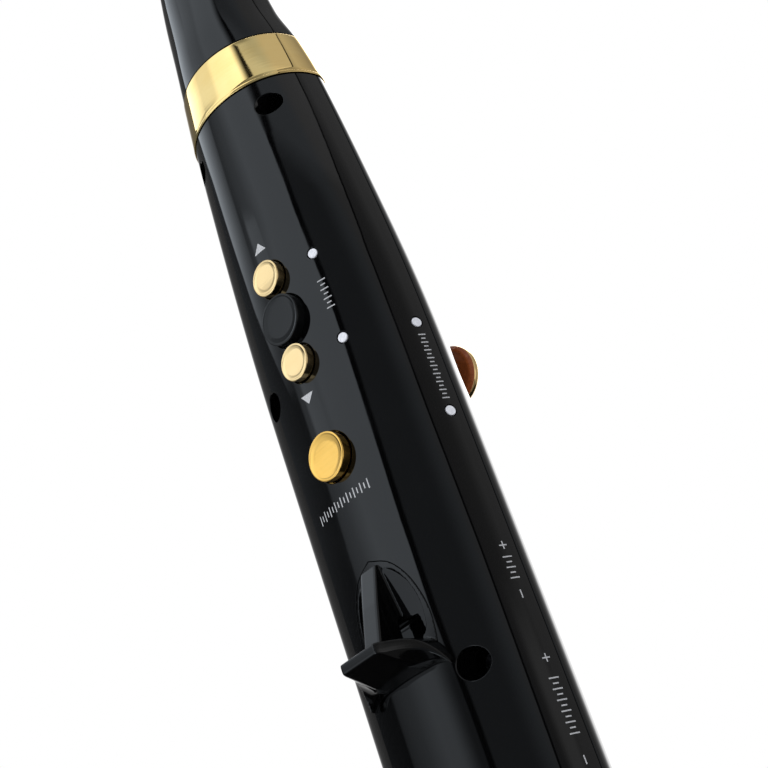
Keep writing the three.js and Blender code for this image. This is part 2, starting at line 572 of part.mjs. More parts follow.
function addThumbHook() {
  const ends = SHELF_STEPS.slice(1).reverse().map((x) => -x);
  const shelf = loft([...ends, ...SHELF_STEPS].map(shelfLoop));

  const ribSide = [[-13.5, 231.2], [-19, 231.4], [-22.4, 222], [-25.6, 212.2], [-26.4, 209],
    [SLOT_Y[0], 209], [SLOT_Y[0], SLOT_TOP - 0.1], [SLOT_Y[0] + 0.8, SLOT_TOP + 1.2], [-13.5, SLOT_TOP + 1.2]];
  const rib = loft([-RIB_HALF, RIB_HALF].map((x) => sideLoop(x, ribSide)));

  const base = plateY(hookOutline(0), [-FAR, HOOK_FLANGE_Y[1]]).intersect(bodyOuter);
  const flange = box([-5.5, 5.5], HOOK_FLANGE_Y, [194.5, 244.5]);
  const scoop = loft([pocketLoop(-24, 1.12), pocketLoop(-17.4, 1), pocketLoop(-12.4, 0.9)]);
  const overFloor = loft([-12, -9, -6, -3, 0, 3, 6, 9, 12].map(overFloorLoop));
  const slot = box([-SLOT_HALF, SLOT_HALF], [-20, SLOT_Y[1]], [POCKET_LOW, SLOT_TOP]);
  const pocket = join(scoop.intersect(overFloor), slot);
  const grown = ovalSolid(BODY_STATIONS, [[190, -GAP], [215, -GAP], [240, -GAP]]);
  const shellRoom = grown.subtract(plateY(hookOutline(0), [-FAR, 0]));
  const screwHoles = HOOK_SCREWS.map(({ z }) => barY(POST_HOLE, [-FAR, 0], 0, z, 8));
  const hook = cut(join(cut(base, pocket), flange, rib, cut(shelf, shellRoom, pocket)), ...screwHoles);
  addPiece('thumb_hook', hook, GLOSS_BLACK);
  for (const { name, z } of HOOK_SCREWS) {
    addPiece(name, smallScrew(0, z, HOOK_FLANGE_Y[1] + GAP, -4.5), STEEL);
  }
}

// Small screw along Y: its head rests at headY, and its shank reaches reach from there
function smallScrew(x, z, headY, reach) {
  const away = -Math.sign(reach);
  const profile = [[0, headY + reach], [0.9, headY + reach], [0.9, headY], [1.9, headY],
    [1.9, headY + away * 0.9], [0, headY + away * 1.3]];
  return turnedY(away > 0 ? profile : profile.reverse(), x, z, 8);
}

// Circuit boards, each with its soldered switches and chips
function tactSwitch(x, z, face, direction) {
  const reach = (from, to) => [from, to].map((height) => face + direction * height).sort((a, b) => a - b);
  const [across, along] = [x, z].map((middle) => [middle - SWITCH_HALF, middle + SWITCH_HALF]);
  const housing = box(across, reach(-0.2, SWITCH_PLUNGER - 0.5), along);
  return join(housing, barY(1.6, reach(0, SWITCH_PLUNGER), x, z, 6));
}

function addBoards() {
  const [mainBack, mainFront] = MAIN_BOARD_Y;
  const mainPlate = box([-9.8, 9.8], MAIN_BOARD_Y, MAIN_BOARD_Z);
  const keySwitches = KEYS.map(({ x, z, stemX = x }) => (
    tactSwitch(Math.min(stemX, SWITCH_REACH), z, mainFront, 1)));
  const chips = [[-3, 262, 5], [2, 205, 3.5], [-2, 180, 4], [3, 306, 3]]
    .map(([x, z, half]) => box([x - half, x + half], [mainBack - 1.1, mainBack + 0.2], [z - half, z + half]));
  const mainHoles = MAIN_BOARD_POSTS.map(([x, z]) => barY(POST_HOLE, [0, 12], x, z, 8));
  addPiece('main_board', cut(join(mainPlate, ...keySwitches, ...chips), ...mainHoles), CIRCUIT_GREEN);
  MAIN_BOARD_POSTS.forEach(([x, z], i) => {
    addPiece(`main_board_screw_${i + 1}`, smallScrew(x, z, mainBack - GAP, 6.5), STEEL);
  });

  const buttonPlate = box([-8, 8], BUTTON_BOARD_Y, BUTTON_BOARD_Z);
  const buttonSwitches = BUTTONS.map(({ z }) => tactSwitch(0, z, BUTTON_BOARD_Y[0], -1));
  const buttonHoles = BUTTON_BOARD_POSTS.map(([x, z]) => barY(POST_HOLE, [-12, 0], x, z, 8));
  addPiece('button_board', cut(join(buttonPlate, ...buttonSwitches), ...buttonHoles), CIRCUIT_GREEN);
  BUTTON_BOARD_POSTS.forEach(([x, z], i) => {
    addPiece(`button_board_screw_${i + 1}`, smallScrew(x, z, BUTTON_BOARD_Y[1] + GAP, -6.5), STEEL);
  });

  const socketPlate = box([-7.5, 7.5], BUTTON_BOARD_Y, SOCKET_BOARD_Z);
  const powerBody = box([-3, 3], [-11.4, -8], [POWER_Z - 5, POWER_Z + 8.6]);
  const socketHoles = SOCKET_BOARD_POSTS.map(([x, z]) => barY(POST_HOLE, [-12, 0], x, z, 8));
  addPiece('socket_board', cut(join(socketPlate, powerBody), ...socketHoles), CIRCUIT_GREEN);
  SOCKET_BOARD_POSTS.forEach(([x, z], i) => {
    addPiece(`socket_board_screw_${i + 1}`, smallScrew(x, z, BUTTON_BOARD_Y[1] + GAP, -6.5), STEEL);
  });
}

function addSockets() {
  const back = BUTTON_BOARD_Y[0] - GAP;
  const socketShell = box([-4.5, 4.5], [-16.6, back], [SOCKET_Z - 1.6, SOCKET_Z + 1.6]);
  const socketMouth = box([-4.1, 4.1], [-20, back - 1.6], [SOCKET_Z - 1.2, SOCKET_Z + 1.2]);
  const tongue = box([-3.2, 3.2], [-16, back - 1], [SOCKET_Z - 0.35, SOCKET_Z + 0.35]);
  addPiece('charging_socket', join(cut(socketShell, socketMouth), tongue), STEEL);

  const jack = barY(JACK_RADIUS, [-17.4, back], 0, JACK_Z, 20);
  const jackBore = barY(1.8, [-20, back - 1.5], 0, JACK_Z, 16);
  addPiece('headphone_socket', jack.subtract(jackBore), BLACK_STEEL);

  const [knobX, knobZ] = KNOB_HALF;
  const surface = surfaceY(0, POWER_Z, -1);
  const thumbPad = box([-knobX, knobX], [surface - 0.9, -13], [POWER_Z - knobZ, POWER_Z + knobZ]);
  const slider = box([-3.2, 3.2], [-14.4, -11.8], [POWER_Z - 4, POWER_Z + 4]);
  const grooves = [-1.3, 0, 1.3].map((offset) => (
    box([-knobX - 1, knobX + 1], [-20, surface - 0.4], [POWER_Z + offset - 0.25, POWER_Z + offset + 0.25])));
  addPiece('power_switch_knob', cut(join(thumbPad, slider), ...grooves), GLOSS_BLACK);
}

function addPowerAndSound() {
  const batteryY = 5;
  addPiece('battery', barZ(9.1, [56, 121], 0, batteryY, 24), BATTERY_WRAP);
  const cradleOuter = barZ(10.6, [53.5, 123.5], 0, batteryY, 24);
  const cradleRoom = barZ(9.4, [55.7, 121.3], 0, batteryY, 24);
  const rearOpening = box([-12, 12], [-12, batteryY - 1], [50, 130]);
  const leadNotch = box([-3, 3], [batteryY - 3, batteryY + 2], [121, 124]);
  addPiece('battery_cradle', cut(cradleOuter, cradleRoom, rearOpening, leadNotch), MATT_BLACK);

  const lead = circleShape(0.8, 6);
  const batteryRoute = [[0, batteryY + 0.4, 121.3], [-0.5, batteryY + 0.5, 122.5],
    [-1, batteryY + 0.6, 123.7]];
  addPiece('battery_lead', alongRoute(lead, batteryRoute, 3), WIRE_RED);
  const speakerRoute = [[7, -3, 21.4], [6.8, -5.2, 26], [6, -5, 45], [5.6, -4.8, 90], [5.8, -4.7, 120],
    [6.3, -2, 128], [6.5, 2, 130.6], [6.5, 4.3, 130.8]];
  addPiece('speaker_lead', alongRoute(lead, speakerRoute, 18), WIRE_GREY);
}

function addAirPath() {
  const sensorX = -3;
  const sensor = box([sensorX - 4, sensorX + 4], [-1.2, MAIN_BOARD_Y[0] - GAP], [328, 337]);
  const nipple = barZ(1.1, [336, 341], sensorX, 1.5, 10);
  const port = barZ(0.6, [334, 342], sensorX, 1.5, 8);
  addPiece('breath_sensor', cut(join(sensor, nipple), port), MATT_BLACK);

  const section = circleShape(2.4, 8);
  section.holes.push(circleShape(1.5, 6));
  const route = [[sensorX, 1.5, 337.4], [sensorX, 1.5, 345], [-2, -0.5, 375], [-0.5, -4, 410],
    [0, MOUTH_AXIS_Y, 436], [0, MOUTH_AXIS_Y, 444.6]];
  addPiece('air_tube', alongRoute(section, route, 14), SILICONE);
}

function addRibbon() {
  const corners = [[-4, -0.2], [4, -0.2], [4, 0.2], [-4, 0.2]];
  const section = new THREE.Shape(corners.map(([x, y]) => new THREE.Vector2(x, y)));
  const z = 268;
  const route = [[0, BUTTON_BOARD_Y[1] + GAP, z], [0, -4, z + 0.5], [0, 0, z + 6], [0, 2.5, z + 7.5],
    [0, MAIN_BOARD_Y[0] - GAP, z + 8]];
  addPiece('board_ribbon', alongRoute(section, route, 12), WIRE_GREY);
}

addShells();
addWindows();
addShellScrews();
addHeadEnd();
addBellEnd();
addButtons();
addKeys();
addThumbHook();
addBoards();
addSockets();
addPowerAndSound();
addAirPath();
addRibbon();

export default instrument;
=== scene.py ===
import json
import math
from functools import partial

import bpy
import numpy as np
from mathutils import Matrix, Vector

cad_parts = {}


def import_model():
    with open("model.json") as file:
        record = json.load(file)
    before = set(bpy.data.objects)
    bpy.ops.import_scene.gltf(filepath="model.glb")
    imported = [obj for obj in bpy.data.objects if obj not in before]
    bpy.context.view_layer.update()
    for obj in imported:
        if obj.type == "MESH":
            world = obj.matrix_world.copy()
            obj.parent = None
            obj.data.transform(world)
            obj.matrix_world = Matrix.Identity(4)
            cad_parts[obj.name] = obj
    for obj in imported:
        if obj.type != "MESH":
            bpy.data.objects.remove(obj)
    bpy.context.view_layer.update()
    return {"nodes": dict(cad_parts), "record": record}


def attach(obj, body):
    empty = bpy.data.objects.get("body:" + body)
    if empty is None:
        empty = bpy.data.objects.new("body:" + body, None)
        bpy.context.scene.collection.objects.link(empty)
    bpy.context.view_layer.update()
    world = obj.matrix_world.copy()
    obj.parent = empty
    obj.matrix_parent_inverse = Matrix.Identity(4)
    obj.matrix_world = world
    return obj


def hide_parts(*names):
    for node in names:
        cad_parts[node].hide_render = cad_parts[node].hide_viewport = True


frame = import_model()

# Driving dimensions of the part, in millimetres: +Z towards the mouthpiece, the rear faces -Y
MM = 0.001
HALF_WIDTH = 28
REAR = -18
FRONT = 19
WALL = 2.2
GAP = 0.3
BELL_RING_TOP = 10
RING_LOW = 370
RING_TOP = 386.4
NECK_TOP = 455
TOTAL_LENGTH = 520
MOUTH_AXIS_Y = -5.5
AIR_BORE = 1.9
NECK_CEILING = 445
TENON_RADIUS = 7
TENON_TOP = 470
MOUTH_SOCKET_RADIUS = 8.6
SPIGOT_LOW = 4
SPIGOT_TOP = 392
SPIGOT_INSET = 3
SPIGOT_WALL = 1.8
EDGE = 0.14

# Outline at each height: half width, rearmost y, frontmost y, y of the widest line
BODY_STATIONS = [
    [0, 31, -21, 21, 0],
    [BELL_RING_TOP, 30.6, -20.8, 20.8, 0],
    [35, 29.3, -19.4, 20, 0],
    [60, 28.5, -18.6, 19.4, 0],
    [110, HALF_WIDTH, REAR, FRONT, 0],
    [260, HALF_WIDTH, REAR, FRONT, 0],
    [300, 27.7, -18.1, 18.3, 0],
    [335, 25.75, -18.7, 15.2, 0],
    [RING_LOW, 22.85, -19, 11.6, 0],
    [RING_TOP, 20.8, -18.7, 10, -1],
    [398, 18.6, -18.5, 8.6, -2.8],
    [416, 16.8, -17.3, 8, -4.2],
    [435, 13.4, -16.6, 6.4, -5],
    [447, 11.2, -16.4, 5.4, MOUTH_AXIS_Y],
    [NECK_TOP, 10.8, -16.3, 5.3, MOUTH_AXIS_Y],
]
MOUTHPIECE_STATIONS = [
    [NECK_TOP + GAP, 10.6, -16.1, 5.1, MOUTH_AXIS_Y],
    [NECK_TOP + 2, 11.2, -16.7, 5.7, MOUTH_AXIS_Y],
    [NECK_TOP + 7, 11.2, -16.7, 5.7, MOUTH_AXIS_Y],
    [NECK_TOP + 9, 10.4, -15.9, 4.9, MOUTH_AXIS_Y],
    [480, 10.2, -15.7, 4.2, MOUTH_AXIS_Y],
    [500, 9.2, -15.4, -3, -9.5],
    [512, 8.2, -15, -8.4, -12],
    [518.6, 7.2, -14.6, -11, -13],
    [TOTAL_LENGTH, 6.4, -14, -11.8, -13],
]
AIR_STATIONS = [
    [TENON_TOP, AIR_BORE, MOUTH_AXIS_Y - AIR_BORE, MOUTH_AXIS_Y + AIR_BORE, MOUTH_AXIS_Y],
    [490, 2.2, -10, -6.6, -8.3],
    [505, 3.5, -12.3, -10.1, -11.2],
    [TOTAL_LENGTH + 1, 5, -13.6, -12.2, -12.9],
]

# Shell screws: x, z and radius of each recess, whose floor lies deep inside
RECESS_RADIUS = 3.7
NECK_RECESS_RADIUS = 3.3
SHELL_SCREWS = {
    "shell_screw_neck_right": (15.2, 361.8, NECK_RECESS_RADIUS),
    "shell_screw_neck_left": (-15.2, 361.8, NECK_RECESS_RADIUS),
    "shell_screw_upper_left": (-16.4, 286, RECESS_RADIUS),
    "shell_screw_middle_right": (16.4, 200.4, RECESS_RADIUS),
    "shell_screw_lower_left": (-16.4, 115, RECESS_RADIUS),
    "shell_screw_bell_right": (16.4, 38, RECESS_RADIUS),
    "shell_screw_bell_left": (-16.4, 38, RECESS_RADIUS),
}
SCREW_HEAD_RADIUS = 2.7
SCREW_HEAD_HEIGHT = 2.0
RECESS_FLOOR = -4.5
RECESS_WALL = 1.4
SCREW_TIP = 8
PILOT_RADIUS = 1.6
FRONT_POST_RADIUS = 4.2

# Openings: how their mouths are rounded, how far plugs reach out and in, and a y behind everything
MOUTH_ROUND = 0.25
SOCKET_MOUTH_ROUND = 0.3
HOOK_MOUTH_ROUND = 0.08
PLUG_REACH = 2
OPENING_FLOOR = -9
FAR_REAR = -60

# Thumb buttons on the rear centre line: z and radius
BUTTONS = {
    "upper_octave_button": (313.95, 4.8),
    "thumb_button": (301.2, 6.7),
    "lower_octave_button": (288.45, 4.8),
    "function_button": (261.5, 6.1),
}
BUTTON_HEIGHT = 2.3
BUTTON_CLEARANCE = 0.3
FLANGE_TOP = -14.8
FLANGE_LOW = -13.9
PLUNGER_END = -13.2

# Front keys: x and z of the touch, its radius, x of the stem
KEYS = {
    "left_index_key": (-4.5, 323, 8.2, -4.5),
    "left_middle_key": (-4.5, 300, 8.2, -4.5),
    "left_ring_key": (-4.5, 277, 8.2, -4.5),
    "left_side_key": (12.5, 282, 8.2, 8.2),
    "left_between_key": (6.6, 311.5, 4.4, 6.6),
    "left_little_key": (-1.5, 253, 6.6, -1.5),
    "right_index_key": (3, 216, 8.2, 3),
    "right_middle_key": (3, 193, 8.2, 3),
    "right_ring_key": (3, 170, 8.2, 3),
    "right_little_upper_key": (3, 147, 6.4, 3),
    "right_little_lower_key": (3, 132, 6.4, 3),
}
KEY_TRAVEL = 1.5
STEM_RADIUS = 2.4
STEM_FLANGE = 3.5
BOARD_FRONT = 6.4
SWITCH_PLUNGER = 3.5
STEM_HOLE_FLOOR = 8
STEM_END = BOARD_FRONT + SWITCH_PLUNGER + KEY_TRAVEL + GAP

# Windows of the status lights: x or y of each pair, and z
WINDOW_RADIUS = 1.3
WINDOW_DEPTH = 1.2
KEY_WINDOW_X = 13.6
SIDE_WINDOW_Y = -3.7
WINDOWS = {
    "key_light_upper": 313.1,
    "key_light_lower": 287.6,
    "side_light_upper": 285,
    "side_light_lower": 259.7,
}

# Thumb hook
HOOK_LOW = 204
HOOK_TOP = 233.4
HOOK_SIDE = [[0, HOOK_TOP], [5.4, 230.6], [8.9, 226], [10.8, 220.6], [11.5, 215.2], [11, 209.5],
             [9.6, HOOK_LOW]]
HOOK_GAP = 0.1
HOOK_FLANGE_Y = [-13, -11.4]
HOOK_FLANGE_HALF = 5.5
HOOK_FLANGE_Z = [194.5, 244.5]
HOOK_BASE_DEPTH = 6
HOOK_SCREW_Z = [240.5, 198.5]
HOOK_HOLE_RADIUS = 1.1
SHELF_FRONT_Y = -31.3
SHELF_CORNER_X = 6
SHELF_END = [13.5, -18.2]
SHELF_LOW = 208
SHELF_RIM = 2.4
SHELF_DROOP = 6
SHELF_ROOT = [-17, 203.7]
RIB_HALF = 2.7
FLOOR_LOW = [-15, 212.5]
FLOOR_TOP = [-18, 229.5]
FLOOR_BOW = 0.022
POCKET_LOW = 210.6
POCKET_SIDE = [[7.4, 0], [9.4, 2], [10.1, 6.4], [9.7, 10.4], [8, 15], [5, 18.6], [0, 20.4]]
SLOT_HALF = 6.5
SLOT_Y = [-17.6, HOOK_FLANGE_Y[0]]
SLOT_TOP = 217

# Sockets and power switch, below on the rear
SOCKET_Z = 84
SOCKET_OPENING_HALF = [4.9, 2]
JACK_Z = 103
JACK_RADIUS = 3.6
POWER_Z = 131
POWER_TRAVEL = 3.6
POWER_SLOT_FLOOR = -12
KNOB_HALF = [1.7, 2.6]
KNOB_RISE = 0.9
SLIDER_HALF = [3.2, 4]
SLIDER_Y = [-14.4, -11.8]
SOCKET_BACK = -8.5


# Outlines and surfaces
def outline_at(stations, z):
    """Half width, rearmost y, frontmost y and widest y at each height z, on the part's own smooth curve."""
    rows = np.array(stations, float)
    levels, values = rows[:, 0], rows[:, 1:]
    last = len(levels) - 1
    before = np.maximum(np.arange(last + 1) - 1, 0)
    after = np.minimum(np.arange(last + 1) + 1, last)
    slopes = (values[after] - values[before]) / (levels[after] - levels[before])[:, None]
    z = np.clip(np.atleast_1d(np.asarray(z, float)), levels[0], levels[-1])
    i = np.clip(np.searchsorted(levels, z, side="right") - 1, 0, last - 1)
    span = (levels[i + 1] - levels[i])[:, None]
    t = (z - levels[i])[:, None] / span
    return ((2 * t ** 3 - 3 * t ** 2 + 1) * values[i] + (t ** 3 - 2 * t ** 2 + t) * slopes[i] * span
            + (3 * t ** 2 - 2 * t ** 3) * values[i + 1] + (t ** 3 - t ** 2) * slopes[i + 1] * span)


def oval(stations, z, inset, turns):
    """Points of the outline at height z, drawn in by inset, at turns counted from +X towards +Y."""
    half, rear, front, wide = outline_at(stations, z)[0]
    depth = np.where(np.sin(turns) > 0, front - wide, wide - rear) - inset
    x = (half - inset) * np.cos(turns)
    y = wide + depth * np.sin(turns)
    return np.stack([x, y, np.full_like(x, z)], 1)


def surface_y(x, z, side, inset=0):
    """Height of the body's surface over the x, z plane: side is 1 at the front and -1 at the rear."""
    x, z = np.broadcast_arrays(np.asarray(x, float), np.asarray(z, float))
    rows = outline_at(BODY_STATIONS, z.ravel())
    half = rows[:, 0].reshape(x.shape) - inset
    depth = np.abs(rows[:, 2 if side > 0 else 1]).reshape(x.shape) - inset
    return side * depth * np.sqrt(np.maximum(1 - (x / half) ** 2, 0))


def level_of(stations, points):
    """About 1 on the outline's surface, less inside it and more outside."""
    half, rear, front, wide = outline_at(stations, points[:, 2]).T
    depth = np.where(points[:, 1] > wide, front - wide, wide - rear)
    return np.hypot(points[:, 0] / half, (points[:, 1] - wide) / depth)


def outward_from(stations, points):
    """The surface's own outward direction at each point."""
    probe = 0.01
    shifts = np.eye(3) * probe
    slope = [level_of(stations, points + shift) - level_of(stations, points - shift) for shift in shifts]
    direction = np.stack(slope, 1)
    return direction / np.linalg.norm(direction, axis=1, keepdims=True)


def on_body(turn, z, along, up, height):
    """Points on the rear half of the body: along its section from turn, up from z, raised by height."""
    half, rear, _, _ = outline_at(BODY_STATIONS, z)[0]
    turns = np.linspace(turn - 1.3, turn + 1.3, 400)
    pace = np.hypot(half * np.sin(turns), rear * np.cos(turns))
    length = np.concatenate([[0], np.cumsum((pace[1:] + pace[:-1]) / 2 * np.diff(turns))])
    length -= np.interp(turn, turns, length)
    at = np.interp(along, length, turns)
    rows = outline_at(BODY_STATIONS, z + up)
    points = np.stack([rows[:, 0] * np.cos(at), -rows[:, 1] * np.sin(at), z + up], 1)
    return points + outward_from(BODY_STATIONS, points) * np.reshape(height, (-1, 1))


# Rounding and lofting
def rounded(corners, radius, steps=4, closed=False):
    """A line through corners with each corner rounded."""
    corners = [np.array(corner, float) for corner in corners]
    if closed:
        triples = zip(corners[-1:] + corners[:-1], corners, corners[1:] + corners[:1])
    else:
        triples = zip(corners, corners[1:], corners[2:])
    line = [] if closed else [corners[0]]
    for before, corner, after in triples:
        back, ahead = before - corner, after - corner
        reach_back = min(radius / np.linalg.norm(back), 0.48)
        reach_ahead = min(radius / np.linalg.norm(ahead), 0.48)
        start, end = corner + back * reach_back, corner + ahead * reach_ahead
        for t in np.linspace(0, 1, steps + 1):
            line.append((1 - t) ** 2 * start + 2 * t * (1 - t) * corner + t ** 2 * end)
    return line if closed else line + [corners[-1]]


def smooth_line(corners, steps):
    """A curve through every corner, for outlines without sharp bends."""
    points = np.array(corners, float)
    ends = np.vstack([2 * points[0] - points[1], points, 2 * points[-1] - points[-2]])
    line = []
    for i in range(len(points) - 1):
        p0, p1, p2, p3 = ends[i:i + 4]
        for t in np.arange(steps) / steps:
            line.append(0.5 * (2 * p1 + (p2 - p0) * t + (2 * p0 - 5 * p1 + 4 * p2 - p3) * t ** 2
                               + (3 * p1 - p0 - 3 * p2 + p3) * t ** 3))
    return line + [points[-1]]


def full_turn(sides):
    return np.linspace(0, 2 * np.pi, sides, endpoint=False)


def circle(x, z, radius, sides):
    turns = full_turn(sides)
    return np.stack([x + radius * np.cos(turns), z + radius * np.sin(turns)], 1)


def rectangle(left, right, low, high):
    return [[left, low], [right, low], [right, high], [left, high]]


def laid(points, y):
    """x, z points laid at depth y, which is one value or one for each point."""
    x, z = np.asarray(points, float).T
    return np.stack([x, np.broadcast_to(np.asarray(y, float), x.shape), z], 1)


def draft_mesh(points, faces, name="draft"):
    mesh = bpy.data.meshes.new(name)
    mesh.from_pydata([tuple(point) for point in points], [], faces)
    return mesh


def linked(name, data):
    """A new object in the scene."""
    thing = bpy.data.objects.new(name, data)
    bpy.context.scene.collection.objects.link(thing)
    return thing


def outward(mesh):
    """The mesh with its faces turned outwards."""
    mesh.calc_loop_triangles()
    corners = np.zeros(len(mesh.loop_triangles) * 3, np.int32)
    mesh.loop_triangles.foreach_get("vertices", corners)
    points = np.zeros(len(mesh.vertices) * 3)
    mesh.vertices.foreach_get("co", points)
    a, b, c = points.reshape(-1, 3)[corners.reshape(-1, 3)].transpose(1, 0, 2)
    if np.einsum("ij,ij->", a, np.cross(b, c)) < 0:
        mesh.flip_normals()
    return mesh


def loft(loops, ends="fan", tips=(None, None)):
    """A closed mesh through loops, with its ends as fans, as strips between walls, or joined in a ring."""
    count = len(loops[0])
    points = [point for loop in loops for point in loop]
    around = np.arange(count)
    ahead = np.roll(around, -1)
    pairs = [(k, k + 1) for k in range(len(loops) - 1)]
    if ends == "ring":
        pairs.append((len(loops) - 1, 0))
    faces = []
    for low, high in pairs:
        a, b = low * count, high * count
        faces += np.stack([a + around, a + ahead, b + ahead, b + around], 1).tolist()
    top = (len(loops) - 1) * count
    if ends == "fan":
        end_loops = zip((loops[0], loops[-1]), tips)
        points += [np.mean(loop, 0) if tip is None else tip for loop, tip in end_loops]
        first, last = len(points) - 2, len(points) - 1
        faces += [[first, int(j), int(i)] for i, j in zip(around, ahead)]
        faces += [[last, int(top + i), int(top + j)] for i, j in zip(around, ahead)]
    if ends == "strip":
        for i in range(count // 2 - 1):
            strip = [i, i + 1, count - 2 - i, count - 1 - i]
            faces += [strip[::-1], [top + corner for corner in strip]]
    return outward(draft_mesh(points, faces))


def turned(profile, x, z, sides=64, axis="y", centre_y=0):
    """A turned piece: the profile runs from its centre to its centre as [radius, place along the axis]."""
    def ring(radius, place):
        if axis == "y":
            return laid(circle(x, z, radius, sides), place)
        return np.insert(circle(x, centre_y, radius, sides), 2, place, axis=1)

    tips = [ring(0, profile[0][1])[0], ring(0, profile[-1][1])[0]]
    return loft([ring(radius, place) for radius, place in profile[1:-1]], tips=tips)


def rod(radius, low, high, x, z, sides=24, **along):
    """A plain round rod from low to high along its axis."""
    return turned([[0, low], [radius, low], [radius, high], [0, high]], x, z, sides, **along)


def block(low, high, radius=0.15):
    """A box between two corners, with its upright edges and its rims rounded."""
    (x0, y0, z0), (x1, y1, z1) = low, high
    loops = []
    for inset, y in ((radius, y0), (radius * 0.3, y0 + radius * 0.3), (0, y0 + radius),
                     (0, y1 - radius), (radius * 0.3, y1 - radius * 0.3), (radius, y1)):
        corners = rectangle(x0 + inset, x1 - inset, z0 + inset, z1 - inset)
        loops.append(laid(rounded(corners, radius, closed=True), y))
    return loft(loops)


def finished(holder):
    """A plain mesh of a draft object with its modifiers applied; the draft itself is removed."""
    bpy.context.view_layer.update()
    shown = holder.evaluated_get(bpy.context.evaluated_depsgraph_get())
    result = bpy.data.meshes.new_from_object(shown)
    remove_draft(holder)
    return result


def remove_draft(draft):
    mesh = draft.data
    bpy.data.objects.remove(draft)
    bpy.data.meshes.remove(mesh)


def modified(mesh, *steps):
    """The mesh after a row of modifiers, each given as its kind and its settings."""
    holder = linked("draft", mesh)
    for kind, settings in steps:
        modifier = holder.modifiers.new(kind.lower(), kind)
        for name, value in settings.items():
            setattr(modifier, name, value)
    return finished(holder)


def combine(base, shared=(), joined=(), cut=()):
    """What base shares with some meshes, with others joined to it and others cut away, as one mesh."""
    tools, steps = [], []
    for operation, meshes in (("INTERSECT", shared), ("UNION", joined), ("DIFFERENCE", cut)):
        for mesh in meshes:
            tools.append(linked("tool", mesh))
            steps.append(("BOOLEAN", {"operation": operation, "solver": "MANIFOLD", "object": tools[-1]}))
    result = modified(base, *steps)
    for tool in tools:
        remove_draft(tool)
    return result


def moulded(mesh, voxel, passes):
    """The mesh with its edges softened, as a moulding has them."""
    return modified(mesh, ("REMESH", {"mode": "VOXEL", "voxel_size": voxel}),
                    ("SMOOTH", {"factor": 0.5, "iterations": passes}))


def bevelled(mesh, width, steps):
    """The mesh with its sharp edges rounded."""
    edges = {"width": width, "segments": steps, "limit_method": "ANGLE", "angle_limit": math.radians(60)}
    return modified(mesh, ("BEVEL", edges))


def polish(mesh, stations, reach):
    """Gives corners on an outline's surface its own directions, so that reflections run smoothly."""
    points = np.zeros(len(mesh.vertices) * 3)
    mesh.vertices.foreach_get("co", points)
    points = points.reshape(-1, 3) / MM
    corner = np.zeros(len(mesh.loops), np.int32)
    mesh.loops.foreach_get("vertex_index", corner)
    normals = np.zeros(len(mesh.loops) * 3)
    mesh.corner_normals.foreach_get("vector", normals)
    normals = normals.reshape(-1, 3)
    true = outward_from(stations, points)[corner]
    close = (np.abs(level_of(stations, points) - 1) * -REAR < reach)[corner]
    agree = np.einsum("ij,ij->i", normals, true) > 0.93
    kept = close & agree
    normals[kept] = true[kept]
    mesh.normals_split_custom_set(normals.tolist())


def add_piece(name, mesh, finish, body="instrument", nodes=(), surface=None, reach=0.02, sharp=32):
    """Makes a finished piece from a mesh in millimetres."""
    mesh.transform(Matrix.Scale(MM, 4))
    mesh.materials.clear()
    mesh.materials.append(finish)
    mesh.polygons.foreach_set("use_smooth", np.ones(len(mesh.polygons), bool))
    mesh.set_sharp_from_angle(angle=math.radians(sharp))
    if surface:
        polish(mesh, surface, reach)
    piece = linked(name, mesh)
    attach(piece, body)
    if nodes:
        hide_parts(*nodes)
    return piece


# Material nodes
def add_node(tree, kind, inputs=None, **settings):
    node = tree.nodes.new(kind)
    for name, value in settings.items():
        setattr(node, name, value)
    for name, value in (inputs or {}).items():
        if isinstance(value, bpy.types.NodeSocket):
            tree.links.new(value, node.inputs[name])
        else:
            node.inputs[name].default_value = value
    return node


def calculate(tree, operation, *values, clamp=False):
    node = add_node(tree, "ShaderNodeMath", dict(enumerate(values)), operation=operation, use_clamp=clamp)
    return node.outputs[0]


def between(tree, value, low, high, to_low=0.0, to_high=1.0, smooth=True):
    """Value spread from low..high to to_low..to_high, held at both ends."""
    kind = "SMOOTHSTEP" if smooth else "LINEAR"
    inputs = {"Value": value, "From Min": low, "From Max": high, "To Min": to_low, "To Max": to_high}
    return add_node(tree, "ShaderNodeMapRange", inputs, interpolation_type=kind).outputs["Result"]


def mixed_color(tree, share, first, second):
    node = add_node(tree, "ShaderNodeMix", data_type="RGBA")
    for name, value in (("Factor", share), ("A", first), ("B", second)):
        socket = next(s for s in node.inputs if s.name == name and s.enabled)
        if isinstance(value, bpy.types.NodeSocket):
            tree.links.new(value, socket)
        else:
            socket.default_value = value if name == "Factor" else (*value, 1)
    return next(s for s in node.outputs if s.enabled)


def noise(tree, place, scale, detail):
    inputs = {"Vector": place, "Scale": scale, "Detail": detail}
    return add_node(tree, "ShaderNodeTexNoise", inputs).outputs["Fac"]


def shared_effect(name, inputs, outputs):
    """An empty node group with named inputs and outputs, with its own tree of nodes to fill."""
    group = bpy.data.node_groups.new(name, "ShaderNodeTree")
    for label, start in inputs.items():
        socket = group.interface.new_socket(label, in_out="INPUT", socket_type="NodeSocketFloat")
        socket.default_value = start
    for label in outputs:
        group.interface.new_socket(label, in_out="OUTPUT", socket_type="NodeSocketFloat")
    source = group.nodes.new("NodeGroupInput")
    target = group.nodes.new("NodeGroupOutput")
    place = add_node(group, "ShaderNodeTexCoord").outputs["Object"]
    return group, source.outputs, target.inputs, place


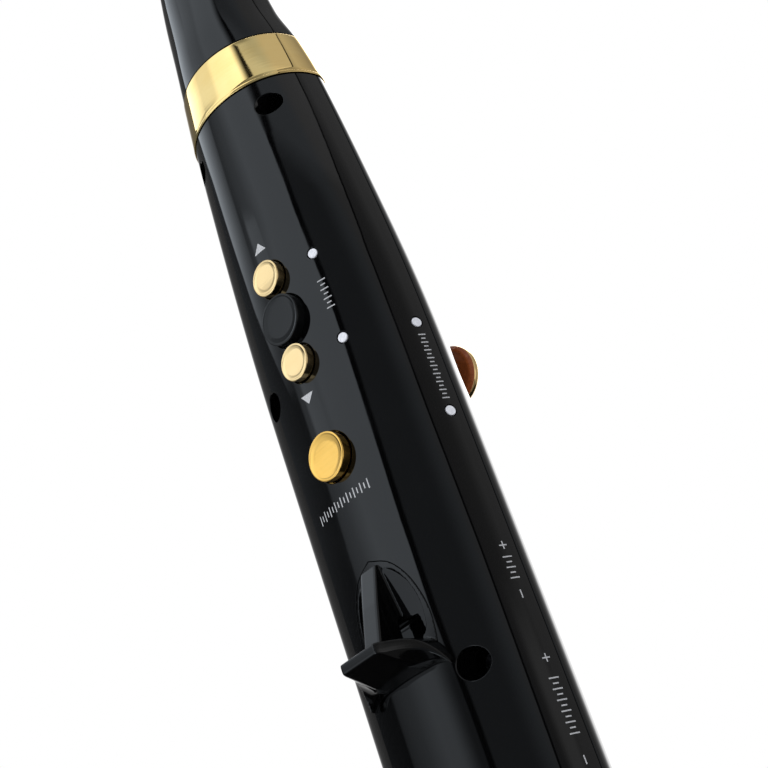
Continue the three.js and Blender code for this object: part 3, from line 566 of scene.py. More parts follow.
def handling_effect():
    """Broad smudges, hair-fine scratches and the slight waviness of a polished moulding."""
    scales = {"Smudge Scale": 45, "Scratch Scale": 900, "Wave Scale": 260}
    group, given, result, place = shared_effect("handling", scales, ["Smudge", "Scratch", "Wave"])
    smudge = noise(group, place, given["Smudge Scale"], 5)
    group.links.new(between(group, smudge, 0.42, 0.68), result["Smudge"])
    stretched = add_node(group, "ShaderNodeMapping",
                         {"Vector": place, "Rotation": (0.3, 0.2, 0.5), "Scale": (1, 0.9, 0.05)})
    scratch = noise(group, stretched.outputs[0], given["Scratch Scale"], 2)
    group.links.new(between(group, scratch, 0.66, 0.74), result["Scratch"])
    group.links.new(noise(group, place, given["Wave Scale"], 1), result["Wave"])
    return group


def grain_effect():
    """The fine pebbled grain of moulded rubber, matt plastic and sleeves."""
    scales = {"Scale": 2500, "Speck Scale": 900}
    group, given, result, place = shared_effect("grain", scales, ["Height", "Speck"])
    cells = add_node(group, "ShaderNodeTexVoronoi", {"Vector": place, "Scale": given["Scale"]})
    rough = noise(group, place, given["Scale"], 4)
    height = calculate(group, "MULTIPLY_ADD", cells.outputs["Distance"], 0.6, rough)
    group.links.new(height, result["Height"])
    speck = noise(group, place, given["Speck Scale"], 6)
    group.links.new(between(group, speck, 0.4, 0.7), result["Speck"])
    return group


def hairline_effect():
    """Hairlines left by a polishing wheel: long across the axis and fine along it."""
    scales = {"Scale": 1400, "Cloud Scale": 70}
    group, given, result, place = shared_effect("hairlines", scales, ["Line", "Cloud"])
    stretched = add_node(group, "ShaderNodeMapping", {"Vector": place, "Scale": (0.08, 0.08, 1)})
    line = noise(group, stretched.outputs[0], given["Scale"], 3)
    group.links.new(between(group, line, 0.35, 0.65), result["Line"])
    cloud = noise(group, place, given["Cloud Scale"], 4)
    group.links.new(between(group, cloud, 0.4, 0.66), result["Cloud"])
    return group


HANDLING = handling_effect()
GRAIN = grain_effect()
HAIRLINES = hairline_effect()


def new_finish(name):
    material = bpy.data.materials.new(name)
    material.use_nodes = True
    tree = material.node_tree
    return material, tree, tree.nodes["Principled BSDF"]


def use_effect(tree, group, **values):
    node = add_node(tree, "ShaderNodeGroup", node_tree=group)
    for name, value in values.items():
        node.inputs[name.replace("_", " ")].default_value = value
    return node.outputs


def set_shader(tree, shader, **values):
    for name, value in values.items():
        socket = shader.inputs[name.replace("_", " ")]
        if isinstance(value, bpy.types.NodeSocket):
            tree.links.new(value, socket)
        else:
            socket.default_value = value


def set_finish(tree, shader, tone, colors, wear, roughness, bump, **more):
    """Colour mixed by tone and roughness spread by wear, over a bump's height, strength and distance."""
    height, strength, distance = bump
    inputs = {"Height": height, "Strength": strength, "Distance": distance}
    set_shader(tree, shader, Base_Color=mixed_color(tree, tone, *colors),
               Roughness=between(tree, wear, 0, 1, *roughness, smooth=False),
               Normal=add_node(tree, "ShaderNodeBump", inputs).outputs["Normal"], **more)


def worn_by(tree, marks, scratches):
    """Smudges with a share of the scratches, from 0 to 1."""
    return calculate(tree, "MULTIPLY_ADD", marks["Scratch"], scratches, marks["Smudge"], clamp=True)


def gloss_plastic(name, dark, light, clean=0.025, dull=0.06, shine=0.385):
    """Polished black moulding with faint smudges, scratches and waves."""
    material, tree, shader = new_finish(name)
    marks = use_effect(tree, HANDLING)
    dulled = worn_by(tree, marks, 0.35)
    set_finish(tree, shader, marks["Smudge"], (dark, light), dulled, (clean, dull),
               (marks["Wave"], 0.012, 0.0004), Specular_IOR_Level=shine)
    return material


def polished_gold(name, bright, deep, clean, dull):
    """Gold-plated or gold-lacquered metal with soft clouds of tone and wheel hairlines."""
    material, tree, shader = new_finish(name)
    lines = use_effect(tree, HAIRLINES)
    marks = use_effect(tree, HANDLING, Smudge_Scale=120)
    fine = calculate(tree, "MULTIPLY", lines["Line"], 0.25)
    tone = calculate(tree, "MULTIPLY_ADD", lines["Cloud"], 0.7, fine)
    worn = worn_by(tree, marks, 0.5)
    set_finish(tree, shader, tone, (bright, deep), worn, (clean, dull), (lines["Line"], 0.02, 0.00005),
               Metallic=1.0)
    return material


def painted_shade_back(material):
    """Adds painted shade to the side of a key that faces the body: a dull brown, not metal, as if that side
    lay in shadow.
    """
    tree = material.node_tree
    shader = tree.nodes["Principled BSDF"]
    direction = add_node(tree, "ShaderNodeTexCoord").outputs["Normal"]
    facing = add_node(tree, "ShaderNodeSeparateXYZ", {"Vector": direction})
    # Share of painted shade: it grows as the key's surface turns towards the body
    back = between(tree, facing.outputs["Y"], -0.3, -0.6)
    gold = shader.inputs["Base Color"].links[0].from_socket
    grain = use_effect(tree, GRAIN, Scale=1500)
    # Painted shade colour: a dull brown with a fine speck
    painted_shade_brown = mixed_color(tree, grain["Speck"], (0.24, 0.062, 0.018), (0.2, 0.05, 0.014))
    set_shader(tree, shader, Base_Color=mixed_color(tree, back, gold, painted_shade_brown),
               Metallic=between(tree, back, 0, 1, 1, 0, smooth=False))
    return material


def grained(name, dark, light, low, high, scale, strength, speck=0.35, distance=0.0001, **more):
    """Rubber, matt plastic, coated metal, frosted window or ink, with a fine grain and its specks."""
    material, tree, shader = new_finish(name)
    grain = use_effect(tree, GRAIN, Scale=scale, Speck_Scale=scale * speck)
    set_finish(tree, shader, grain["Speck"], (dark, light), grain["Speck"], (low, high),
               (grain["Height"], strength, distance), **more)
    return material


def brushed_metal(name, dark, light, low, high):
    material, tree, shader = new_finish(name)
    lines = use_effect(tree, HAIRLINES, Scale=3000, Cloud_Scale=300)
    set_finish(tree, shader, lines["Line"], (dark, light), lines["Cloud"], (low, high),
               (lines["Line"], 0.15, 0.00005), Metallic=1.0)
    return material


def circuit_board(name):
    """Solder resist with copper tracks showing through it and tinned pads."""
    material, tree, shader = new_finish(name)
    place = add_node(tree, "ShaderNodeTexCoord").outputs["Object"]
    grain = use_effect(tree, GRAIN, Scale=4000)
    laid_flat = add_node(tree, "ShaderNodeMapping", {"Vector": place, "Rotation": (math.pi / 2, 0, 0)})
    tracks = add_node(tree, "ShaderNodeTexBrick", {
        "Vector": laid_flat.outputs[0], "Scale": 90.0, "Mortar Size": 0.03, "Mortar Smooth": 0.2,
        "Bias": 0.0, "Brick Width": 0.3, "Row Height": 0.12}).outputs["Fac"]
    pads = add_node(tree, "ShaderNodeTexVoronoi", {"Vector": place, "Scale": 260})
    pad = between(tree, pads.outputs["Distance"], 0.2, 0.16)
    resist = mixed_color(tree, tracks, (0.012, 0.1, 0.045), (0.03, 0.2, 0.09))
    faint = calculate(tree, "MULTIPLY", grain["Speck"], 0.3)
    speckled = mixed_color(tree, faint, resist, (0.02, 0.07, 0.05))
    set_finish(tree, shader, pad, (speckled, (0.62, 0.6, 0.55)), pad, (0.38, 0.25), (tracks, 0.2, 0.0001),
               Metallic=pad)
    return material


def battery_sleeve(name):
    """Shrink sleeve with fine creases and a pale band round it."""
    band_height, band_half = 0.108, 0.0035
    material, tree, shader = new_finish(name)
    place = add_node(tree, "ShaderNodeTexCoord").outputs["Object"]
    height = add_node(tree, "ShaderNodeSeparateXYZ", {"Vector": place}).outputs["Z"]
    from_band = calculate(tree, "ABSOLUTE", calculate(tree, "SUBTRACT", height, band_height))
    band = calculate(tree, "LESS_THAN", from_band, band_half)
    lines = use_effect(tree, HAIRLINES, Scale=700, Cloud_Scale=90)
    blue = mixed_color(tree, lines["Cloud"], (0.03, 0.12, 0.36), (0.045, 0.17, 0.45))
    set_finish(tree, shader, band, (blue, (0.7, 0.72, 0.74)), lines["Cloud"], (0.25, 0.4),
               (lines["Line"], 0.1, 0.0001))
    return material


def silicone_tube(name):
    material, tree, shader = new_finish(name)
    marks = use_effect(tree, HANDLING, Smudge_Scale=200)
    set_finish(tree, shader, marks["Smudge"], ((0.66, 0.69, 0.68), (0.78, 0.8, 0.78)), marks["Smudge"],
               (0.25, 0.42), (marks["Wave"], 0.1, 0.0002), Subsurface_Weight=0.3,
               Subsurface_Radius=(0.002, 0.002, 0.002))
    return material


BODY_BLACK = gloss_plastic("body_black", (0.0008, 0.0008, 0.0009), (0.0014, 0.0014, 0.0016))
BUTTON_BLACK = gloss_plastic("button_black", (0.002, 0.0022, 0.0024), (0.003, 0.0033, 0.0035), 0.05, 0.08,
                             shine=0.26)
RING_GOLD = polished_gold("ring_gold", (1.0, 0.74, 0.31), (0.96, 0.67, 0.25), 0.03, 0.07)
BUTTON_GOLD = polished_gold("button_gold", (1.0, 0.74, 0.38), (0.98, 0.7, 0.34), 0.08, 0.12)
DEEP_GOLD = polished_gold("deep_gold", (1.0, 0.61, 0.16), (0.98, 0.57, 0.13), 0.08, 0.12)
# The keys' gold carries painted shade: the side that faces the body is painted dull brown as if in shadow
KEY_GOLD = painted_shade_back(polished_gold("key_gold", (0.95, 0.68, 0.32), (0.88, 0.6, 0.26), 0.08, 0.16))
MOUTH_RUBBER = grained("mouthpiece_rubber", (0.012, 0.012, 0.013), (0.02, 0.02, 0.021), 0.32, 0.45, 2200,
                       0.08)
SEAL_RUBBER = grained("seal_rubber", (0.02, 0.02, 0.02), (0.035, 0.035, 0.034), 0.5, 0.65, 2600, 0.15)
MATT_BLACK = grained("matt_black", (0.018, 0.018, 0.019), (0.03, 0.03, 0.031), 0.45, 0.6, 1800, 0.25)
BLACK_STEEL = grained("black_steel", (0.035, 0.035, 0.038), (0.07, 0.07, 0.075), 0.3, 0.42, 3000, 0.1,
                      Metallic=1.0)
RED_WIRE = grained("red_wire", (0.38, 0.02, 0.015), (0.48, 0.035, 0.025), 0.35, 0.5, 1500, 0.1)
GREY_WIRE = grained("grey_wire", (0.3, 0.31, 0.33), (0.4, 0.41, 0.43), 0.4, 0.55, 1500, 0.1)
STEEL = brushed_metal("bright_steel", (0.5, 0.51, 0.53), (0.66, 0.67, 0.69), 0.18, 0.32)
CIRCUIT_GREEN = circuit_board("circuit_green")
BATTERY_BLUE = battery_sleeve("battery_sleeve")
SILICONE = silicone_tube("milky_silicone")
WINDOW_SILVER = grained("frosted_silver", (0.56, 0.58, 0.64), (0.68, 0.7, 0.76), 0.3, 0.45, 6000, 0.05, 0.3,
                        0.00005, Coat_Weight=0.3)
PRINT_SILVER = grained("silver_print", (0.3, 0.31, 0.33), (0.42, 0.43, 0.45), 0.35, 0.55, 5000, 0.08, 0.6,
                       0.00003)


# Plugs that cut openings into the body, following its surface round a rounded mouth
def surface_plug(outline, side, floor, mouth):
    """outline(grow) gives the opening's x, z points; floor is the y where it ends; mouth rounds its edge."""
    steps = [(1, PLUG_REACH), (1, 0.15)]
    for angle in np.radians([12, 30, 50, 70, 90]):
        steps.append((1 - math.sin(angle), -mouth * (1 - math.cos(angle))))
    loops = []
    for share, height in steps:
        points = np.array(outline(share * mouth))
        loops.append(laid(points, surface_y(points[:, 0], points[:, 1], side) + side * height))
    return loft([*loops, laid(outline(0), floor)])


def round_plug(x, z, radius, side, floor, mouth=MOUTH_ROUND):
    return surface_plug(lambda grow: circle(x, z, radius + grow, 64), side, floor, mouth)


def slot_plug(half_x, low, high, floor, corner, mouth=MOUTH_ROUND):
    """An upright slot with round corners on the rear centre line."""
    def outline(grow):
        corners = rectangle(-half_x - grow, half_x + grow, low - grow, high + grow)
        return rounded(corners, corner + grow, steps=6, closed=True)

    return surface_plug(outline, -1, floor, mouth)


def hook_outline(grow):
    """The thumb hook's pointed arch, grown all round, as x, z points."""
    right = np.array(smooth_line(HOOK_SIDE, 6))
    spread = np.arange(len(right)) / (len(right) - 1)
    right = right + grow * np.stack([np.minimum(spread * 8, 1), 1 - 2 * spread], 1)
    return np.vstack([right, right[1:][::-1] * [-1, 1]])


def hook_plug():
    return surface_plug(lambda grow: hook_outline(HOOK_GAP + grow), -1, OPENING_FLOOR, HOOK_MOUTH_ROUND)


def window_place(name):
    """Turn round the body and height of a status light's window."""
    z = WINDOWS[name]
    half, rear, _, _ = outline_at(BODY_STATIONS, z)[0]
    turn = -math.asin(SIDE_WINDOW_Y / rear) if "side" in name else -math.acos(KEY_WINDOW_X / half)
    return turn, z


def window_disc(name, profile):
    """A turned piece square to the body's surface at a window: the profile is [radius, height]."""
    turn, z = window_place(name)
    centre = on_body(turn, z, np.zeros(1), np.zeros(1), 0)
    normal = outward_from(BODY_STATIONS, centre)[0]
    across = np.cross([0, 0, 1], normal)
    across /= np.linalg.norm(across)
    upward = np.cross(normal, across)
    loops = []
    for radius, height in profile[1:-1]:
        loops.append([centre[0] + radius * (across * math.cos(t) + upward * math.sin(t)) + normal * height
                      for t in full_turn(40)])
    tips = [centre[0] + normal * profile[0][1], centre[0] + normal * profile[-1][1]]
    return loft(loops, tips=tips)


def window_plug(name):
    radius = WINDOW_RADIUS + GAP
    depth = WINDOW_DEPTH + GAP
    mouth = radius + 0.1
    profile = [[0, PLUG_REACH], [mouth, PLUG_REACH], [mouth, 0.02], [radius, -0.1], [radius, -depth],
               [0, -depth]]
    return window_disc(name, profile)


# Body shells
BODY_LEVELS = np.concatenate([np.arange(BELL_RING_TOP + GAP + EDGE, 60, 1.2), np.arange(60, 300, 2.5),
                              np.arange(300, RING_LOW - EDGE, 1.5)])


def shell_sections():
    """Height, inset of the outer face and inset of the inner face, from the bell end to the neck end."""
    spigot = SPIGOT_INSET + SPIGOT_WALL
    low_edge = BELL_RING_TOP + GAP
    sections = [(SPIGOT_LOW, SPIGOT_INSET, spigot), (low_edge - 0.01, SPIGOT_INSET, spigot),
                (low_edge, EDGE, spigot), (low_edge + EDGE * 0.3, EDGE * 0.3, spigot)]
    for z in BODY_LEVELS:
        near_end = z < BELL_RING_TOP + 4 or z > RING_LOW - 4
        sections.append((z, 0, spigot if near_end else WALL))
    sections += [(RING_LOW - EDGE, 0, spigot), (RING_LOW - EDGE * 0.3, EDGE * 0.3, spigot),
                 (RING_LOW, EDGE, spigot), (RING_LOW + 0.01, SPIGOT_INSET, spigot),
                 (SPIGOT_TOP, SPIGOT_INSET, spigot)]
    return sections


def shell_blank(side, steps=110):
    """Half of the body, split along the seam at y = 0 with a fine gap."""
    seam = side * GAP / 2
    loops = []
    for z, outer_inset, inner_inset in shell_sections():
        _, rear, front, wide = outline_at(BODY_STATIONS, z)[0]
        lines = []
        for inset, edge in ((outer_inset, EDGE), (inner_inset, 0)):
            offset = seam + side * edge - wide
            depth = (front - wide if offset > 0 else wide - rear) - inset
            start = math.asin(offset / depth)
            turns = np.linspace(start, math.pi - start, steps)
            if side < 0:
                turns = np.linspace(start, -math.pi - start, steps)
            lines.append(oval(BODY_STATIONS, z, inset, turns))
        outer, inner = lines
        inward = np.array([EDGE, 0, 0])
        corners = [outer[0] - inward, outer[-1] + inward]
        for corner in corners:
            corner[1] = seam
        outer = np.vstack([corners[0], outer, corners[1]])
        inner = np.vstack([inner[0], inner, inner[-1]])
        loops.append(np.vstack([outer, inner[::-1]]))
    return loft(loops, ends="strip")


def boss(x, z, radius, side, foot):
    """A post inside the shell, from its wall to y = foot."""
    ring = circle(x, z, radius, 40)
    return loft([laid(ring, surface_y(ring[:, 0], ring[:, 1], side, WALL / 2)), laid(ring, foot)])


def make_rear_shell():
    screws = SHELL_SCREWS.values()
    bosses = [boss(x, z, radius + RECESS_WALL, -1, -GAP / 2) for x, z, radius in screws]
    cuts = [round_plug(x, z, radius, -1, RECESS_FLOOR) for x, z, radius in screws]
    cuts += [round_plug(0, z, radius + BUTTON_CLEARANCE, -1, FLANGE_TOP) for z, radius in BUTTONS.values()]
    cuts += [rod(PILOT_RADIUS, RECESS_FLOOR - 1.5, 1, x, z) for x, z, _ in screws]
    cuts += [window_plug(name) for name in WINDOWS]
    cuts.append(hook_plug())
    half_x, half_z = SOCKET_OPENING_HALF
    low, high = SOCKET_Z - half_z, SOCKET_Z + half_z
    cuts.append(slot_plug(half_x, low, high, OPENING_FLOOR, 1.9, SOCKET_MOUTH_ROUND))
    cuts.append(round_plug(0, JACK_Z, JACK_RADIUS + GAP, -1, OPENING_FLOOR, SOCKET_MOUTH_ROUND))
    low, high = POWER_Z - KNOB_HALF[1] - GAP, POWER_Z + KNOB_HALF[1] + POWER_TRAVEL + GAP
    cuts.append(slot_plug(KNOB_HALF[0] + GAP, low, high, POWER_SLOT_FLOOR, 0.5))
    shell = combine(shell_blank(-1), joined=bosses, cut=cuts)
    add_piece("rear_shell_moulding", shell, BODY_BLACK, nodes=["rear_shell"],
              surface=BODY_STATIONS)


def make_front_shell():
    screws = SHELL_SCREWS.values()
    bosses = [boss(x, z, FRONT_POST_RADIUS, 1, GAP / 2) for x, z, _ in screws]
    cuts = [rod(PILOT_RADIUS, -1, SCREW_TIP + 1, x, z) for x, z, _ in screws]
    for _, z, _, stem_x in KEYS.values():
        cuts.append(round_plug(stem_x, z, STEM_RADIUS + BUTTON_CLEARANCE, 1, STEM_HOLE_FLOOR))
    shell = combine(shell_blank(1), joined=bosses, cut=cuts)
    add_piece("front_shell_moulding", shell, BODY_BLACK, nodes=["front_shell"],
              surface=BODY_STATIONS)


# Rings, neck and mouthpiece
FULL_TURN = full_turn(160)
ON_MOUTH_AXIS = {"axis": "z", "centre_y": MOUTH_AXIS_Y}


def skin(stations, rows, turns, ends="fan"):
    """A closed mesh over an outline's sections, each given as its height and its inset."""
    return loft([oval(stations, z, inset, turns) for z, inset in rows], ends=ends)


def band(profile, inner):
    """A closed ring of the body's outline: the profile lists z and inset, inner is the inset inside."""
    low, high = profile[0][0], profile[-1][0]
    return skin(BODY_STATIONS, [*profile, [high, inner], [low, inner]], FULL_TURN, "ring")


def make_gold_ring():
    low, high = RING_LOW + GAP, RING_TOP - GAP
    lip, foot = 0.7, 1.3
    corners = [[low, 1.2], [low, -0.3], [low + lip, -0.4], [low + lip + 0.2, -0.22], [low + foot, -0.3],
               [high, -0.2], [high, 1.2]]
    profile = rounded(corners[:5], 0.2, 5)[:-1] + rounded(corners[4:], 0.5, 8)
    straight = [[z, np.interp(z, [low + foot, high], [-0.3, -0.2])]
                for z in np.arange(low + 2, high - 1, 1.0)]
    split = next(i for i, point in enumerate(profile) if point[0] > low + foot + 0.2)
    profile = [*profile[:split], *straight, *profile[split:]]
    add_piece("gold_ring_band", band(profile, SPIGOT_INSET - GAP), RING_GOLD,
              nodes=["gold_ring"])


def make_bell_ring():
    corners = [[0, 1.5], [0, 0.1], [2, -0.3], [8, -0.4], [BELL_RING_TOP, 0], [BELL_RING_TOP, 1.5]]
    add_piece("bell_ring_band", band(rounded(corners, 0.8, 8), SPIGOT_INSET - GAP), RING_GOLD,
              nodes=["bell_ring"])


def make_neck():
    outer = [[RING_TOP, WALL], [RING_TOP, EDGE], [RING_TOP + EDGE * 0.3, EDGE * 0.3], [RING_TOP + EDGE, 0]]
    outer += [[z, 0] for z in np.arange(RING_TOP + 1, NECK_TOP - 0.6, 1)]
    outer += [[NECK_TOP - 0.5, 0], [NECK_TOP - 0.2, 0.08], [NECK_TOP - 0.05, 0.25], [NECK_TOP, 0.5]]
    inner = [[z, WALL] for z in np.arange(NECK_CEILING, RING_TOP, -3)]
    blank = skin(BODY_STATIONS, inner + outer, FULL_TURN)
    profile = [[0, NECK_TOP - 1], [TENON_RADIUS, NECK_TOP - 1], [TENON_RADIUS, TENON_TOP - 0.5],
               [TENON_RADIUS - 0.5, TENON_TOP], [0, TENON_TOP]]
    tenon = turned(profile, 0, 0, 48, **ON_MOUTH_AXIS)
    bore = rod(AIR_BORE, NECK_CEILING - 1, TENON_TOP + 1, 0, 0, 32, **ON_MOUTH_AXIS)
    neck = combine(blank, joined=[tenon], cut=[bore])
    add_piece("neck_moulding", neck, BODY_BLACK, nodes=["neck_shell"], surface=BODY_STATIONS)


def make_mouthpiece():
    tip = TOTAL_LENGTH - 0.001
    levels = np.concatenate([[NECK_TOP + GAP], np.arange(NECK_TOP + 0.6, NECK_TOP + 10, 0.35),
                             np.arange(NECK_TOP + 10, TOTAL_LENGTH - 2, 1), np.linspace(tip - 1.4, tip, 6)])
    blank = skin(MOUTHPIECE_STATIONS, [(z, 0) for z in levels], FULL_TURN)
    socket = rod(MOUTH_SOCKET_RADIUS, NECK_TOP - 1, TENON_TOP + 1.5, 0, 0, 48, **ON_MOUTH_AXIS)
    heights = np.arange(AIR_STATIONS[0][0], TOTAL_LENGTH + 1.1, 1.5)
    channel = skin(AIR_STATIONS, [(z, 0) for z in heights], full_turn(40))
    mouthpiece = combine(blank, cut=[socket, channel])
    add_piece("mouthpiece_rubber", mouthpiece, MOUTH_RUBBER, "mouthpiece", ["mouthpiece"])


# Thumb buttons and front keys
def make_buttons():
    for name, (z, radius) in BUTTONS.items():
        black = name == "thumb_button"
        gold = DEEP_GOLD if name == "function_button" else BUTTON_GOLD
        face = float(surface_y(0, z, -1)) - BUTTON_HEIGHT
        dish = [[radius * share, face + 0.14 + 0.08 * (1 - share ** 2)] for share in (0.2, 0.4, 0.6, 0.7)]
        edge = rounded([[radius * 0.76, face + 0.15], [radius - 0.7, face + 0.08], [radius - 0.5, face],
                        [radius, face + 0.02], [radius, face + 1.1]], 0.3, 6)
        foot = [[radius, FLANGE_TOP], [radius + 0.5, FLANGE_TOP], [radius + 0.5, FLANGE_LOW],
                [radius - 1.2, FLANGE_LOW], [radius - 1.2, PLUNGER_END], [0, PLUNGER_END]]
        profile = [[0, face + 0.22], *dish, *edge, *foot]
        add_piece(name + "_cap", turned(profile, 0, z, 96), BUTTON_BLACK if black else gold,
                  name, [name], sharp=40)


def make_keys():
    for name, (x, z, radius, stem_x) in KEYS.items():
        near_x = max(abs(x) - radius, 0)
        low = float(surface_y(near_x, z - radius, 1)) + KEY_TRAVEL + 0.5
        top = low + 2.6
        rim = rounded([[radius * 0.6, low], [radius - 1.2, low], [radius, low + 0.9], [radius, top - 0.2],
                       [radius - 0.5, top], [radius - 1.2, top - 0.12], [radius * 0.6, top - 0.62]], 0.5, 6)
        dish = [[radius * share, top - 0.9 + 0.28 * share ** 2 / 0.36] for share in (0.45, 0.3, 0.15)]
        touch = turned([[0, low], [radius * 0.3, low], *rim, *dish, [0, top - 0.9]], x, z, 96)
        flange = float(surface_y(abs(stem_x) + STEM_FLANGE, z, 1, WALL)) - 0.5
        profile = [[0, STEM_END], [STEM_RADIUS, STEM_END], [STEM_RADIUS, flange - 0.9],
                   [STEM_FLANGE, flange - 0.9], [STEM_FLANGE, flange], [STEM_RADIUS, flange],
                   [STEM_RADIUS, low + 0.5], [0, low + 0.5]]
        key = combine(touch, joined=[turned(profile, stem_x, z, 40)])
        add_piece(name + "_touch", key, KEY_GOLD, name, [name], sharp=40)


# Thumb hook
def shelf_section(x):
    """The shelf's section at x: straight in front between its corners, then swept back and drooping."""
    swept = max((abs(x) - SHELF_CORNER_X) / (SHELF_END[0] - SHELF_CORNER_X), 0)
    outer = SHELF_FRONT_Y + (SHELF_END[1] - SHELF_FRONT_Y) * swept ** 0.75
    low = SHELF_LOW - SHELF_DROOP * swept ** 3
    rim = SHELF_RIM * (1 - 0.7 * swept ** 3)
    root_y, root_z = SHELF_ROOT
    root = root_z - 2 * swept ** 4
    inner = -14
    corners = [[inner, low + rim], [outer, low + rim], [outer, low],
               [outer + 0.6 * (root_y - outer), low + 0.8 * (root - low)], [root_y, root], [inner, root]]
    return [[x, y, z] for y, z in rounded(corners, 0.5 * rim / SHELF_RIM, closed=True)]


def make_rib():
    """The bar that carries the strap: thick over the shelf, with the strap slot behind it."""
    side = [[-13.5, 231.2], [-19, 231.4], [-22.4, 222], [-25.6, 212.2], [-26.4, 209], [SLOT_Y[0], 209],
            [SLOT_Y[0], SLOT_TOP - 0.1], [SLOT_Y[0] + 0.8, SLOT_TOP + 1.2], [-13.5, SLOT_TOP + 1.2]]
    line = rounded(side, 0.5, closed=True)
    return bevelled(loft([[[x, y, z] for y, z in line] for x in (-RIB_HALF, RIB_HALF)]), 0.6, 5)


def pocket_plug():
    """The scooped pocket over its bowed floor, with the strap slot across it."""
    side = smooth_line(POCKET_SIDE, 6)
    loops = []
    for y, share in ((-24, 1.12), (-17.4, 1), (-12.4, 0.9)):
        right = [[share * x, y, POCKET_LOW + share * rise] for x, rise in side]
        left = [[-x, y, z] for x, y, z in right[:-1]]
        loops.append(left + right[::-1])
    over_floor = []
    for x in np.linspace(-12, 12, 49):
        low, top = FLOOR_LOW[0] + FLOOR_BOW * x ** 2, FLOOR_TOP[0] + FLOOR_BOW * x ** 2
        over_floor.append([[x, FAR_REAR, 200], [x, low, 200], [x, low, FLOOR_LOW[1]], [x, top, FLOOR_TOP[1]],
                           [x, top, 240], [x, FAR_REAR, 240]])
    slot = block([-SLOT_HALF, -20, POCKET_LOW], [SLOT_HALF, SLOT_Y[1], SLOT_TOP], 0.2)
    return combine(loft(loops), shared=[loft(over_floor)], joined=[slot])


def make_thumb_hook():
    spread = SHELF_END[0] * np.sin(np.linspace(-math.pi / 2, math.pi / 2, 70))
    shelf = loft([shelf_section(x) for x in spread])
    outline = hook_outline(0)
    raised = surface_y(outline[:, 0], outline[:, 1], -1) - HOOK_BASE_DEPTH
    levels = np.arange(185, 256, 3)
    body, body_with_gap = [skin(BODY_STATIONS, [(z, inset) for z in levels], full_turn(200))
                           for inset in (0, -GAP)]
    base = combine(loft([laid(outline, raised), laid(outline, HOOK_FLANGE_Y[1])]), shared=[body])
    flange = block([-HOOK_FLANGE_HALF, HOOK_FLANGE_Y[0], HOOK_FLANGE_Z[0]],
                   [HOOK_FLANGE_HALF, HOOK_FLANGE_Y[1], HOOK_FLANGE_Z[1]])
    around_hook = combine(body_with_gap, cut=[loft([laid(outline, FAR_REAR), laid(outline, 0)])])
    pocketed = combine(base, cut=[pocket_plug()])
    trimmed = combine(shelf, cut=[around_hook, pocket_plug()])
    holes = [rod(HOOK_HOLE_RADIUS, -20, 0, 0, z) for z in HOOK_SCREW_Z]
    hook = combine(pocketed, joined=[flange, make_rib(), trimmed], cut=holes)
    add_piece("thumb_hook_moulding", moulded(hook, 0.22, 4), BODY_BLACK, nodes=["thumb_hook"],
              surface=BODY_STATIONS, reach=0.05, sharp=60)


# Windows
def make_windows():
    for name in WINDOWS:
        radius = WINDOW_RADIUS
        rim = rounded([[radius * 0.55, 0.04], [radius - 0.45, 0.03], [radius - 0.2, 0.06], [radius, -0.06],
                       [radius, -0.4]], 0.14, 4)
        profile = [[0, 0.05], *rim, [radius, -WINDOW_DEPTH], [0, -WINDOW_DEPTH]]
        add_piece(name + "_window", window_disc(name, profile), WINDOW_SILVER, nodes=[name])


# Prints: the turn of the rear centre line, the film of ink, and the strokes and places of the signs
REAR_CENTRE = -math.pi / 2
INK_HEIGHT = 0.02
INK_DEPTH = 0.08
STROKE = 0.32
SIGN = 2.0
ARROW_UP = [[-2.8, -0.7], [1.6, -1.1], [-0.4, 1.7]]
ARROW_DOWN = [[0.8, 0.9], [-3.7, 1.5], [-1.6, -1.4]]
PLUS_Z = [223.9, 196.5]
MINUS_Z = [211.8, 173.3]


def patch(corners, fineness=0.5):
    """A flat four-cornered patch as a fine grid of along, up points with its faces."""
    a, b, c, d = [np.array(corner, float) for corner in corners]
    across = max(int(max(np.linalg.norm(b - a), np.linalg.norm(c - d)) / fineness), 1) + 1
    upward = max(int(max(np.linalg.norm(d - a), np.linalg.norm(c - b)) / fineness), 1) + 1
    points = [(1 - s) * (1 - t) * a + s * (1 - t) * b + s * t * c + (1 - s) * t * d
              for t in np.linspace(0, 1, upward) for s in np.linspace(0, 1, across)]
    faces = [[j * across + i, j * across + i + 1, (j + 1) * across + i + 1, (j + 1) * across + i]
             for j in range(upward - 1) for i in range(across - 1)]
    return points, faces


def stroke(turn):
    """A stroke of a sign: it lies along the body's section unless it is turned."""
    along = np.array([math.cos(turn), math.sin(turn)]) * SIGN / 2
    up = np.array([-math.sin(turn), math.cos(turn)]) * STROKE / 2
    return patch([-along - up, along - up, along + up, up - along])


def triangle(base_left, base_right, tip):
    return patch([base_left, base_right, tip, tip], 0.4)


def gathered(shapes):
    """The points and the faces of several shapes, each as one list."""
    points, faces = [], []
    for shape_points, shape_faces in shapes:
        start = len(points)
        points += list(shape_points)
        faces += [[start + corner for corner in face] for face in shape_faces]
    return np.array(points), faces


def ink(turn, z, *shapes):
    """Shapes laid onto the body round a turn and a height, as points and faces."""
    flat, faces = gathered(shapes)
    return on_body(turn, z, flat[:, 0], flat[:, 1], INK_HEIGHT), faces


def film(prints):
    """One thin closed film from prints that lie on the body."""
    mesh = draft_mesh(*gathered(prints))
    return outward(modified(mesh, ("WELD", {"merge_threshold": 0.001}),
                            ("SOLIDIFY", {"thickness": INK_DEPTH, "offset": -1})))


